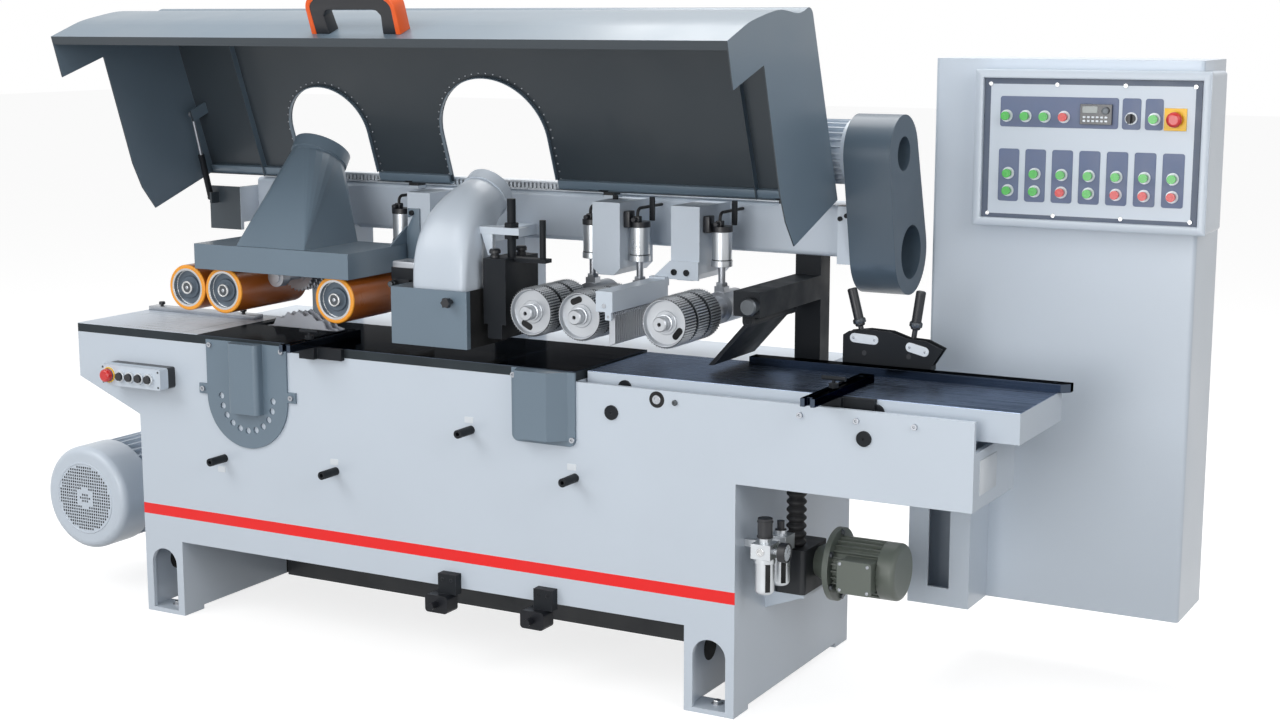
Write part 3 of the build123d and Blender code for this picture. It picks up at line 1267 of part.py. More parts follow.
def chip_cover():
    """Slate cover around the mouth of the chip hood, with a star knob."""
    x0 = CHIP_COVER_X0
    x1 = CHIP_COVER_X1
    y0 = CHIP_COVER_FRONT
    y1 = CHIP_COVER_REAR
    cover = block(x0, x1, y0, y1, CHIP_COVER_Z0, CHIP_COVER_Z1)
    edges = cover.edges().filter_by(Axis.Z).sort_by(Axis.Y)[:2]
    cover = fillet(edges, SHEET)
    low = CHIP_COVER_Z0 - PLATE
    high = CHIP_COVER_Z1 + PLATE
    cover -= block(x0 + SHEET, x1 - SHEET, y0 + SHEET, y1 + PLATE, low, high)
    knob_y = y0 - CHIP_KNOB_R
    knob = rod_y(CHIP_KNOB_R / 2, knob_y, y0 + SHEET, CHIP_KNOB_X, CHIP_KNOB_Z)
    star = ring_points(6, CHIP_KNOB_R, 0.75 * CHIP_KNOB_R, CHIP_KNOB_X, CHIP_KNOB_Z)
    knob += prism_y(star, knob_y - CHIP_KNOB_R, knob_y)
    return cover + knob


def pressure_block():
    """Black pressure shoe with its screw and a side rod."""
    shoe = block(SHOE_X0, SHOE_X1, SHOE_Y0, SHOE_Y1, SHOE_Z0, SHOE_Z1)
    shoe += block(SHOE_X0 + PLATE, SHOE_X1 - PLATE, SHOE_Y0, SHOE_Y1, SHOE_FOOT_Z, SHOE_Z0)
    shoe += rod_z(SHOE_ROD_R, SHOE_Z1 - PLATE, SHOE_ROD_TOP, SHOE_ROD_X, SHOE_ROD_Y)
    arm_y0 = SHOE_ROD_Y - 2 * SHOE_GUIDE_R
    arm_y1 = SHOE_ROD_Y + 2 * SHOE_GUIDE_R
    arm_x1 = SHOE_GUIDE_X + 2 * SHOE_GUIDE_R
    arm_z0 = SHOE_Z1 - SHOE_ARM_H
    shoe += block(SHOE_X1 - PLATE, arm_x1, arm_y0, arm_y1, arm_z0, SHOE_Z1)
    shoe += rod_z(SHOE_GUIDE_R, arm_z0, SHOE_GUIDE_TOP, SHOE_GUIDE_X, SHOE_ROD_Y)
    return shoe


def folded_cone(shrink):
    """Folded sheet cone from a rectangle on the tray to the round port, smaller by shrink."""
    x0 = CONE_X0 + shrink
    x1 = CONE_X1 - shrink
    y0 = CONE_Y0 + shrink
    y1 = CONE_Y1 - shrink
    base_z = TRAY_Z1 - SHEET - shrink
    corners = [(x1, y1, base_z), (x0, y1, base_z), (x0, y0, base_z), (x1, y0, base_z)]
    port_y, port_z = port_root(PORT_Y, PORT_Z, PORT_LEAN, shrink)
    radius = PORT_R - 1.25 * SHEET - shrink
    lean = math.radians(PORT_LEAN)
    count = 4 * CONE_FOLDS
    ring = []
    for i in range(count):
        turn = 2 * math.pi * i / count
        side = radius * math.sin(turn)
        x = PORT_X + radius * math.cos(turn)
        ring.append((x, port_y + side * math.cos(lean), port_z - side * math.sin(lean)))
    outlines = [corners, ring]
    for quarter in range(4):
        first = quarter * CONE_FOLDS
        for i in range(first, first + CONE_FOLDS):
            outlines.append([corners[quarter], ring[i], ring[(i + 1) % count]])
        last = (first + CONE_FOLDS) % count
        outlines.append([corners[quarter], ring[last], corners[(quarter + 1) % 4]])
    faces = [make_face(Polyline(*outline, close=True)).face() for outline in outlines]
    return Solid(Shell(faces))


def dust_hood():
    """Slate tray over the saws with a leaning cone up to a round port."""
    tray = block(TRAY_X0, TRAY_X1, TRAY_Y0, TRAY_Y1, TRAY_Z0, TRAY_Z1)
    x0 = TRAY_X0 + SHEET
    x1 = TRAY_X1 - SHEET
    y0 = TRAY_Y0 + SHEET
    y1 = TRAY_Y1 - SHEET
    tray -= block(x0, x1, y0, y1, TRAY_Z0 - PLATE, TRAY_Z1 - SHEET)
    tray -= block(x0, x1, y1 - PLATE, TRAY_Y1 + PLATE, TRAY_Z0 - PLATE, TRAY_Z0 + TRAY_REAR_RAISE)
    arm_x1 = BOX_SPANS[2][0]
    gusset_z0 = TRAY_Z0 + 2 * PLATE
    gusset_z1 = TRAY_Z1 + 4 * PLATE
    outline = [(TRAY_Y1 - FLANGE, TRAY_Z1), (TRAY_Y1 - SHEET, gusset_z0), (CYLINDER_R, gusset_z0)]
    outline += [(CYLINDER_R, gusset_z1), (BOX_FRONT_Y, gusset_z1)]
    gusset = prism_x(outline, arm_x1 - PLATE / 2, arm_x1)
    port, bore = ported(PORT_X, PORT_Y, PORT_Z, PORT_LEAN, PORT_R)
    hood = tray + gusset + folded_cone(0.0) + port
    hood -= folded_cone(SHEET)
    return hood - bore


def hood_profile(inset):
    """Edges of the hood section in (u, v), moved inwards by inset.

    u runs forwards from the hinge and v runs down from it.
    """
    corner = (HOOD_CORNER[0] - inset, HOOD_CORNER[1] + inset)
    line = Line((0, inset), (HOOD_FLAT_U, inset))
    bend = TangentArc((HOOD_FLAT_U, inset), corner, tangent=(1, 0))
    knots = [corner] + [(u - inset, v) for u, v in HOOD_KNOTS]
    straight = (HOOD_FRONT_U - inset, HOOD_SKIRT_V)
    front = Spline(*knots, straight, tangents=[bend % 1, (0, 1)])
    skirt = Line(straight, (HOOD_FRONT_U - inset, HOOD_LIP_V))
    return [line, bend, front, skirt]


def hood_frame(x):
    """Plane across the machine at x whose axes are the hood's u and v."""
    return Plane(origin=(x, HINGE_Y, HINGE_Z), x_dir=(0, -1, 0), z_dir=(1, 0, 0))


def hood_slab(edges, x0, x1):
    """Extrude closed hood section edges from x0 to x1."""
    face = make_face(edges)
    return extrude(hood_frame(x0) * face, amount=x1 - x0, dir=(1, 0, 0))


def hood_band(depth, x0, x1):
    """Solid band that follows the hood section from its skin to a depth inside."""
    outer = hood_profile(0.0)
    inner = hood_profile(depth)
    start = Line(outer[0] @ 0, inner[0] @ 0)
    end = Line(outer[-1] @ 1, inner[-1] @ 1)
    return hood_slab(outer + inner + [start, end], x0, x1)


def hood_side(x0, x1):
    """End panel of the hood with its front leg and low tail."""
    outer = hood_profile(0.0)
    points = [outer[-1] @ 1] + HOOD_SIDE + [(0, 0)]
    return hood_slab(outer + [Polyline(*points)], x0, x1)


def open_hood(shape):
    """Turn a piece drawn on the closed hood to the open position."""
    return Pos(0, HINGE_Y, HINGE_Z) * Rot(-HOOD_OPEN, 0, 0) * Pos(0, -HINGE_Y, -HINGE_Z) * shape


def hood_shell():
    """Hinged sheet hood with end panels, ribs, hinge eyes and two arches."""
    shell = hood_band(SHEET, HOOD_X0, HOOD_X1)
    shell += hood_side(HOOD_X0, HOOD_X0 + SHEET)
    shell += hood_side(HOOD_X1 - SHEET, HOOD_X1)
    for x in HOOD_RIB_XS:
        shell += hood_band(HOOD_RIB_D, x, x + SHEET)
    shell += block(HOOD_X0, HOOD_X1, HINGE_Y - SHEET, HINGE_Y, HINGE_Z - HOOD_FLANGE, HINGE_Z)
    lip_y = HINGE_Y - HOOD_FRONT_U
    lip_z = HINGE_Z - HOOD_LIP_V
    shell += block(HOOD_X0, HOOD_X1, lip_y, lip_y + HOOD_LIP, lip_z, lip_z + SHEET)
    for x, half, reach in HOOD_ARCHES:
        y = HINGE_Y - reach + half
        z0 = HINGE_Z - 2 * HOOD_FLANGE
        z1 = HINGE_Z + HOOD_FLANGE
        arch = rod_z(half, z0, z1, x, y)
        arch += block(x - half, x + half, y, HINGE_Y + HOOD_FLANGE, z0, z1)
        shell -= arch
    half = HINGE_W / 2
    eye = HINGE_W / 2 + PIN_GAP
    for x in HINGE_XS:
        shell += rod_x(HINGE_EYE_R, x - 2 * HINGE_W, x - eye, HINGE_Y, HINGE_Z)
        shell += rod_x(HINGE_EYE_R, x + eye, x + 2 * HINGE_W, HINGE_Y, HINGE_Z)
        relief_y = HINGE_Y - HINGE_RELIEF
        z0 = HINGE_Z - 2 * HOOD_FLANGE
        shell -= block(x - eye, x + eye, relief_y, HINGE_Y + HOOD_FLANGE, z0, HINGE_Z + HOOD_FLANGE)
        shell += rod_x(HINGE_PIN_R, x - HINGE_W, x + HINGE_W, HINGE_Y, HINGE_Z)
    turn = math.radians(HOOD_OPEN)
    dy = STRUT_TOP_Y - HINGE_Y
    dz = STRUT_TOP_Z - HINGE_Z
    y = HINGE_Y + dy * math.cos(turn) - dz * math.sin(turn)
    z = HINGE_Z + dy * math.sin(turn) + dz * math.cos(turn)
    lug_x0 = STRUT_X + STRUT_TUBE_R + PIN_GAP
    eye = 2 * STRUT_EYE_R
    shell += block(lug_x0, lug_x0 + STRUT_LUG_T, y - eye, y + eye, z - eye, HINGE_Z - SHEET / 2)
    return open_hood(shell)


def hood_handle():
    """Grip on the hood front: a round bar between two posts."""
    y0 = HINGE_Y - HOOD_FRONT_U
    z = HINGE_Z - HANDLE_V
    y1 = y0 - HANDLE_OUT
    half = HANDLE_R
    grip = rod_x(HANDLE_R, HANDLE_X0, HANDLE_X1, y1 + HANDLE_R, z)
    for x in (HANDLE_X0, HANDLE_X1 - HANDLE_POST_W):
        post = block(x, x + HANDLE_POST_W, y1 + HANDLE_R, y0, z - half, z + half)
        grip += post
    return open_hood(grip)


def strut_axis():
    """Place a piece drawn up the Z axis along the open strut."""
    lean = math.degrees(math.atan2(STRUT_FOOT_Y - STRUT_TOP_Y, STRUT_TOP_Z - STRUT_FOOT_Z))
    return Pos(STRUT_X, STRUT_FOOT_Y, STRUT_FOOT_Z) * Rot(lean, 0, 0)


def strut_cylinder():
    """Tube of the gas strut with its lower eye."""
    half = STRUT_EYE_W / 2
    tube = rod_z(STRUT_TUBE_R, STRUT_EYE_R / 2, STRUT_TUBE_L, 0, 0)
    tube += rod_x(STRUT_EYE_R, -half, half, 0, 0)
    tube -= rod_z(STRUT_ROD_R + SLIDE_FIT, STRUT_BORE_START, STRUT_TUBE_L + PLATE, 0, 0)
    tube -= rod_x(STRUT_PIN_R + RUN_FIT, -STRUT_EYE_W, STRUT_EYE_W, 0, 0)
    return strut_axis() * tube


def strut_rod():
    """Rod of the gas strut with its upper eye."""
    length = math.hypot(STRUT_FOOT_Y - STRUT_TOP_Y, STRUT_TOP_Z - STRUT_FOOT_Z)
    half = STRUT_EYE_W / 2
    rod = rod_z(STRUT_ROD_R, STRUT_TUBE_L - STRUT_OVERLAP, length, 0, 0)
    rod += rod_x(STRUT_EYE_R, -half, half, 0, length)
    rod -= rod_x(STRUT_PIN_R, -STRUT_EYE_W, STRUT_EYE_W, 0, length)
    return strut_axis() * rod


def belt_cover():
    """Tapered round-ended cover of the feed belt with two openings."""
    x0 = DRIVE_X0
    x1 = DRIVE_X1
    dy = DRIVE_LOW_Y - DRIVE_TOP_Y
    dz = DRIVE_LOW_Z - DRIVE_TOP_Z
    span = math.hypot(dy, dz)
    lean = math.atan2(dz, dy)
    spread = math.acos((DRIVE_TOP_R - DRIVE_LOW_R) / span)
    corners = []
    for side in (1, -1):
        turn = lean + side * spread
        corners.append((math.cos(turn), math.sin(turn)))
    top = [(DRIVE_TOP_Y + DRIVE_TOP_R * c, DRIVE_TOP_Z + DRIVE_TOP_R * s) for c, s in corners]
    low = [(DRIVE_LOW_Y + DRIVE_LOW_R * c, DRIVE_LOW_Z + DRIVE_LOW_R * s) for c, s in corners]
    cover = prism_x([top[0], low[0], low[1], top[1]], x0, x1)
    cover += rod_x(DRIVE_TOP_R, x0, x1, DRIVE_TOP_Y, DRIVE_TOP_Z)
    cover += rod_x(DRIVE_LOW_R, x0, x1, DRIVE_LOW_Y, DRIVE_LOW_Z)
    floor_x = x0 + PLATE
    cover -= rod_x(DRIVE_TOP_HOLE_R, floor_x, x1 + PLATE, DRIVE_TOP_Y, DRIVE_TOP_Z)
    cover -= rod_x(DRIVE_LOW_HOLE_R, floor_x, x1 + PLATE, DRIVE_LOW_Y, DRIVE_LOW_Z)
    return cover


def feed_motor():
    """Finned feed motor against the belt cover."""
    cowl_x1 = FEED_MOTOR_X0 + FEED_COWL_L
    flange_x0 = DRIVE_X0 - FEED_FLANGE_L
    y = DRIVE_TOP_Y
    z = DRIVE_TOP_Z
    motor = finned_x(FEED_MOTOR_R, FEED_MOTOR_ROOT, FEED_MOTOR_FINS, SHEET, cowl_x1, flange_x0, y, z)
    cowl = rod_x(FEED_MOTOR_R, FEED_MOTOR_X0, cowl_x1, y, z)
    motor += fillet(cowl.edges().sort_by(Axis.X)[:1], PLATE)
    motor += rod_x(FEED_MOTOR_R, flange_x0, DRIVE_X0, y, z)
    return motor


def lever_bracket():
    """Fan-shaped double plate behind the fence with a foot on the table."""
    leaf = [(LEVER_X0, LEVER_FOOT_Z1), (LEVER_X1, LEVER_FOOT_Z1)] + LEVER_RIM
    bracket = prism_y(leaf, LEVER_Y0, LEVER_Y0 + LEVER_LEAF)
    bracket += prism_y(leaf, LEVER_Y1 - LEVER_LEAF, LEVER_Y1)
    base_z0 = LEVER_FOOT_Z1 - PLATE
    bracket += block(LEVER_X0, LEVER_X1, LEVER_Y0, LEVER_Y1, base_z0, LEVER_FOOT_Z1)
    foot_x0 = LEVER_X0 + LEVER_CUT
    foot_x1 = LEVER_X1 - LEVER_CUT
    bracket += block(foot_x0, foot_x1, INFEED_REAR_Y, LEVER_Y1, LEVER_FOOT_Z0, base_z0)
    for x, lean in LEVER_SPOTS:
        bracket -= rod_y(LEVER_PIN_R + RUN_FIT, 0, 2 * LEVER_Y1, x, LEVER_PIVOT_Z)
    return bracket


def lever(x, lean):
    """Hand lever on its pin between the bracket leaves."""
    y = (LEVER_Y0 + LEVER_Y1) / 2
    hub_half = (LEVER_Y1 - LEVER_Y0) / 2 - LEVER_LEAF - REST_GAP
    pin_half = (LEVER_Y1 - LEVER_Y0) / 2
    arm = rod_z(LEVER_ROD_R, 0, LEVER_LENGTH, 0, 0)
    grip = rod_z(LEVER_GRIP_R, LEVER_LENGTH - LEVER_GRIP_L, LEVER_LENGTH, 0, 0)
    arm += fillet(grip.edges(), LEVER_GRIP_R / 3)
    arm += rod_y(LEVER_HUB_R, -hub_half, hub_half, 0, 0)
    arm += rod_y(LEVER_PIN_R, -pin_half, pin_half, 0, 0)
    return Pos(x, y, LEVER_PIVOT_Z) * Rot(0, lean, 0) * arm


def button_spots():
    """Place of every push button on the cabinet panel."""
    spots = [(x, TOP_ROW_Z) for x in TOP_ROW_XS]
    for i in range(COLUMNS):
        for z in ROW_ZS:
            spots.append((COLUMN_X0 + i * COLUMN_PITCH, z))
    return spots


def cabinet():
    """Switch cabinet with a raised control box, held by a post and an arm."""
    body = block(CAB_X0, CAB_X1, CAB_Y0, CAB_Y1, CAB_Z0, CAB_Z1)
    body = fillet(body.edges().filter_by(Axis.Z), CAB_ROUND)
    w = CAB_WALL
    body -= block(CAB_X0 + w, CAB_X1 - w, CAB_Y0 + w, CAB_Y1 - w, CAB_Z0 + w, CAB_Z1 - w)
    box = block(PANEL_X0, PANEL_X1, PANEL_Y, PANEL_REAR_Y, PANEL_Z0, PANEL_Z1)
    box = fillet(box.edges().filter_by(Axis.Y), CAB_ROUND)
    box -= block(CAB_X0, CAB_X1 - w, CAB_Y0 + w, CAB_Y1, CAB_Z0, CAB_Z1)
    box += block(FACE_X0, FACE_X1, PANEL_Y - FACE_T, PANEL_Y, FACE_Z0, FACE_Z1)
    face = PANEL_Y - FACE_T
    for x, z in button_spots() + [(SELECTOR_X, TOP_ROW_Z)]:
        box += rod_y(BEZEL_R, face - BEZEL_H, face, x, z)
    x0, x1, z0, z1 = DRIVE_BOX
    box += block(x0, x1, face - DRIVE_BOX_T, face, z0, z1)
    s = ESTOP_PLATE
    box += block(PANEL_ESTOP_X - s, PANEL_ESTOP_X + s, face - SHEET, face, TOP_ROW_Z - s, TOP_ROW_Z + s)
    for x, z in button_spots() + [(SELECTOR_X, TOP_ROW_Z)]:
        box -= stem_bore(x, face - BEZEL_H, z)
    box -= stem_bore(PANEL_ESTOP_X, face - SHEET, TOP_ROW_Z)
    post = block(CAB_POST_X0, CAB_POST_X1, CAB_POST_Y0, CAB_Y0, CAB_Z0, CAB_POST_Z1)
    wall = PLATE / 2
    hollow_x0 = CAB_POST_X0 + wall
    hollow_x1 = CAB_POST_X1 - wall
    post -= block(hollow_x0, hollow_x1, CAB_POST_Y0 + wall, CAB_Y0, CAB_Z0 + wall, CAB_POST_Z1 - wall)
    xc = (CAB_POST_X0 + CAB_POST_X1) / 2
    half = WINDOW_W / 2
    post -= block(xc - half, xc + half, CAB_POST_Y0 - PLATE, CAB_POST_Y0 + PLATE, WINDOW_Z0, WINDOW_Z1)
    arm = block(BASE_X, CAB_POST_X0 + wall, CAB_ARM_Y0, CAB_ARM_Y1, CAB_ARM_Z0, CAB_POST_Z1)
    return body + box + post + arm


def panel_buttons():
    """All push buttons of the panel as one group."""
    face = PANEL_Y - FACE_T - BEZEL_H
    return Compound(children=[push_button(x, face, z) for x, z in button_spots()])


def panel_selector():
    """Turning selector of the panel."""
    face = PANEL_Y - FACE_T - BEZEL_H
    seat = face - REST_GAP
    knob = rod_y(SELECTOR_R, seat - SELECTOR_L, seat, SELECTOR_X, TOP_ROW_Z)
    half = SELECTOR_BAR / 2
    front = seat - SELECTOR_L - SELECTOR_BAR_L
    z0 = TOP_ROW_Z - SELECTOR_R
    z1 = TOP_ROW_Z + SELECTOR_R
    knob += block(SELECTOR_X - half, SELECTOR_X + half, front, seat, z0, z1)
    return knob + rod_y(STEM_R, seat - SELECTOR_L / 2, face + STEM_L, SELECTOR_X, TOP_ROW_Z)


def panel_estop():
    """Stop button of the panel."""
    return mushroom(PANEL_ESTOP_X, PANEL_Y - FACE_T - SHEET, TOP_ROW_Z)


def frl_unit():
    """Air service unit: two bodies with bowls, a knob and a gauge."""
    half = FRL_BODY / 2
    unit = None
    for y in FRL_YS:
        body = block(FRL_X - half, FRL_X + half, y - half, y + half, FRL_Z0, FRL_Z1)
        bowl = rod_z(FRL_BOWL_R, FRL_BOWL_Z, FRL_Z0 - PLATE, FRL_X, y)
        body += fillet(bowl.edges().sort_by(Axis.Z)[:1], FRL_BOWL_R / 2)
        body += rod_z(half, FRL_Z0 - PLATE, FRL_Z0, FRL_X, y)
        unit = body if unit is None else unit + body
    y0, y1 = FRL_YS
    unit += rod_z(FRL_NECK_R, FRL_Z1, FRL_Z1 + PLATE, FRL_X, y0)
    unit += rod_z(FRL_KNOB_R, FRL_Z1 + PLATE, FRL_KNOB_Z, FRL_X, y0)
    unit += rod_z(FRL_NECK_R, FRL_Z1, FRL_Z1 + PLATE, FRL_X, y1)
    unit += rod_z(FRL_DOME_R, FRL_Z1, FRL_DOME_Z, FRL_X, y1)
    zc = (FRL_Z0 + FRL_Z1) / 2
    t = FRL_ARM_T / 2
    unit += block(FRL_X - t, FRL_X + t, y0, y1, zc - t, zc + t)
    unit += block(BASE_X, FRL_X, y0 + half + PLATE, y1 - half - PLATE, zc - t, zc + t)
    unit += rod_x(FRL_NECK_R / 2, FRL_X, GAUGE_X0, y0, zc)
    unit += rod_x(GAUGE_R, GAUGE_X0, GAUGE_X0 + GAUGE_T, y0, zc)
    return unit


def lift_gearmotor():
    """Worm box under the lifting screw with its flanged motor."""
    h = WORM_HALF
    box = block(LIFT_X - h, LIFT_X + h, LIFT_Y - h, WORM_Y1, WORM_Z0, WORM_Z1)
    box = fillet(box.edges().filter_by(Axis.Z), PLATE)
    box += block(BASE_X, LIFT_X - h / 2, LIFT_Y - h / 2, WORM_Y1 - PLATE, WORM_Z0 + PLATE, LIFT_FOOT_Z1)
    box -= rod_z(SCREW_R + SLIDE_FIT, WORM_Z0 + PLATE, WORM_Z1 + PLATE, LIFT_X, LIFT_Y)
    x0 = LIFT_X + h
    neck = Rot(0, 90, 0) * Cone(NECK_R0, MOTOR_ROOT, NECK_X1 - x0)
    neck = Pos((x0 + NECK_X1) / 2, MOTOR_Y, MOTOR_Z) * neck
    flange_x1 = NECK_X1 + FLANGE_T
    flange = rod_x(FLANGE_R, NECK_X1, flange_x1, MOTOR_Y, MOTOR_Z)
    cowl_x0 = MOTOR_X1 - MOTOR_COWL_L
    motor = finned_x(MOTOR_R, MOTOR_ROOT, MOTOR_FINS, SHEET, flange_x1, cowl_x0, MOTOR_Y, MOTOR_Z)
    cowl = rod_x(MOTOR_R, cowl_x0, MOTOR_X1, MOTOR_Y, MOTOR_Z)
    motor += fillet(cowl.edges().sort_by(Axis.X)[-1:], PLATE)
    ty1 = MOTOR_Y - MOTOR_ROOT + PLATE
    ty0 = MOTOR_Y - MOTOR_R - TERMINAL_D
    half = TERMINAL_H / 2
    motor += block(TERMINAL_X0, TERMINAL_X0 + TERMINAL_W, ty0, ty1, MOTOR_Z - half, MOTOR_Z + half)
    return box + neck + flange + motor


def bellows():
    """Folded cover of the lifting screw, open through the middle."""
    z0 = WORM_Z1 + REST_GAP
    z1 = INFEED_Z0 - REST_GAP
    pitch = (z1 - z0) / BELLOWS_RIBS
    radii = [(0.0, BELLOWS_ROOT), (0.4, BELLOWS_R), (0.6, BELLOWS_R), (1.0, BELLOWS_ROOT)]
    body = None
    for i in range(BELLOWS_RIBS):
        circles = []
        for share, radius in radii:
            circles.append(Pos(LIFT_X, LIFT_Y, z0 + (i + share) * pitch) * Circle(radius))
        rib = loft(circles, ruled=True)
        body = rib if body is None else body + rib
    return body - rod_z(BELLOWS_BORE, z0 - pitch, z1 + pitch, LIFT_X, LIFT_Y)


save("base_frame", base_frame())
save("main_table", main_table())
save("infeed_table", infeed_table())
save("infeed_fence", infeed_fence())
save("infeed_guide", guide_bar(INFEED_GUIDE_X, *INFEED_GUIDE_YS, INFEED_TOP))
save("outfeed_guide", guide_bar(OUTFEED_GUIDE_X, *OUTFEED_GUIDE_YS, TABLE_TOP))
save("infeed_clamp", guide_clamp(INFEED_GUIDE_X, INFEED_FRONT_Y, INFEED_TOP))
save("outfeed_clamp", guide_clamp(OUTFEED_GUIDE_X, -BASE_Y, TABLE_TOP))
save("saw_cover", saw_cover())
save("cutter_cover", cutter_cover())
save("screws", screws())
for number, spot in enumerate(ADJUSTER_SPOTS, start=1):
    save(f"adjuster_{number}", adjuster(*spot))
save("crank_units", crank_units())
save("pendant_box", pendant_box())
save("pendant_buttons", pendant_buttons())
save("pendant_estop", pendant_estop())
save("saw_motor", saw_motor())
save("lower_arbor", lower_arbor())
save("upper_arbor", upper_arbor())
save("feed_beam", feed_beam())
for number, (x, turn) in enumerate(zip(KNURLED_XS, KNURLED_TURNS), start=1):
    save(f"knurled_roller_{number}", knurled_roller(x, turn))
    save(f"press_unit_{number}", press_unit([x], KNURLED_Z, KNURLED_REAR))
for number, x in enumerate(RUBBER_XS, start=1):
    save(f"rubber_roller_{number}", rubber_roller(x))
save("press_unit_4", press_unit(RUBBER_XS[:2], RUBBER_Z, ROLLER_REAR))
save("press_unit_5", press_unit(RUBBER_XS[2:], RUBBER_Z, ROLLER_REAR))
save("press_cylinders", press_cylinders())
save("air_tubes", air_tubes())
save("finger_bar", finger_bar())
save("kickback_fingers", kickback_fingers())
save("kickback_frame", kickback_frame())
save("kickback_flap", kickback_flap())
save("chip_hood", chip_hood())
save("chip_cover", chip_cover())
save("pressure_block", pressure_block())
save("dust_hood", dust_hood())
save("hood_shell", hood_shell())
save("hood_handle", hood_handle())
save("strut_cylinder", strut_cylinder())
save("strut_rod", strut_rod())
save("belt_cover", belt_cover())
save("feed_motor", feed_motor())
save("lever_bracket", lever_bracket())
for number, spot in enumerate(LEVER_SPOTS, start=1):
    save(f"lever_{number}", lever(*spot))
save("cabinet", cabinet())
save("panel_buttons", panel_buttons())
save("panel_selector", panel_selector())
save("panel_estop", panel_estop())
save("frl_unit", frl_unit())
save("lift_gearmotor", lift_gearmotor())
save("bellows", bellows())
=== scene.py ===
"""Visual model of a multi-rip saw with power feed: finishes, fittings, studio and camera."""
import json
import logging
import math
from contextlib import contextmanager
from dataclasses import dataclass
from enum import Enum
from typing import Callable, Iterator, Optional, Sequence

import bmesh
import bpy
from mathutils import Matrix, Vector


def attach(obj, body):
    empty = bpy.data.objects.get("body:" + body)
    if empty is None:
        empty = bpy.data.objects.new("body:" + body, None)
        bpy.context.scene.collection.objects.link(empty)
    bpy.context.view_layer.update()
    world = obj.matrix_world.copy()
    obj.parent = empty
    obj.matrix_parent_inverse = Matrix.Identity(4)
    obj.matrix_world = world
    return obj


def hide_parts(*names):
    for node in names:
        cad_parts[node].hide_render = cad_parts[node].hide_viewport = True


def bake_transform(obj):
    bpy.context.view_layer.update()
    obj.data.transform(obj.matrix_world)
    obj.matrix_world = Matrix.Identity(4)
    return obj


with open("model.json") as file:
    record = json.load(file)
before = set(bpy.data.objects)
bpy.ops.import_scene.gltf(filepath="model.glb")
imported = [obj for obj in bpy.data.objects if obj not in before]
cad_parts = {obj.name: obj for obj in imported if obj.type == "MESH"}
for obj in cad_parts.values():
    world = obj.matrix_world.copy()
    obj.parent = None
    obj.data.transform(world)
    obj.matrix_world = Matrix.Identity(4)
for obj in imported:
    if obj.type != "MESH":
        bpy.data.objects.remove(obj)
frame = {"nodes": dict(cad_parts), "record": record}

MM = 0.001
FULL_TURN = 2.0 * math.pi
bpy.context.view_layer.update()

Point = tuple[float, float, float]
Rgb = tuple[int, int, int]
Outline = Sequence[tuple[float, float]]
Boxes = Sequence[tuple[Point, Point]]
Piece = bpy.types.Object
Socket = bpy.types.NodeSocket

logging.basicConfig(level=logging.INFO, format="%(message)s")
log = logging.getLogger("rip_saw")


def metres(point: Sequence[float]) -> Vector:
    """Turn a point in millimetres into one in metres."""
    return Vector(point) * MM


def linear(colour: Rgb, gain: float = 1.0) -> tuple[float, float, float, float]:
    """Turn a colour of 0 to 255 into linear light.

    Args:
        colour: Red, green and blue as a screen shows them.
        gain: Factor on the linear values.

    Returns:
        Linear red, green, blue and an alpha of 1.
    """
    parts = []
    for value in colour:
        part = value / 255.0
        part = part / 12.92 if part <= 0.04045 else ((part + 0.055) / 1.055) ** 2.4
        parts.append(min(part * gain, 1.0))
    return (parts[0], parts[1], parts[2], 1.0)


class Axis(Enum):
    """Direction that a turned piece or a round zone runs along."""

    X = (1.0, 0.0, 0.0)
    Y = (0.0, 1.0, 0.0)
    Z = (0.0, 0.0, 1.0)
    FRONT = (0.0, -1.0, 0.0)
    DOWN = (0.0, 0.0, -1.0)

    def turn(self) -> Matrix:
        """Rotation that takes +Z to this axis."""
        return Vector((0, 0, 1)).rotation_difference(Vector(self.value)).to_matrix().to_4x4()


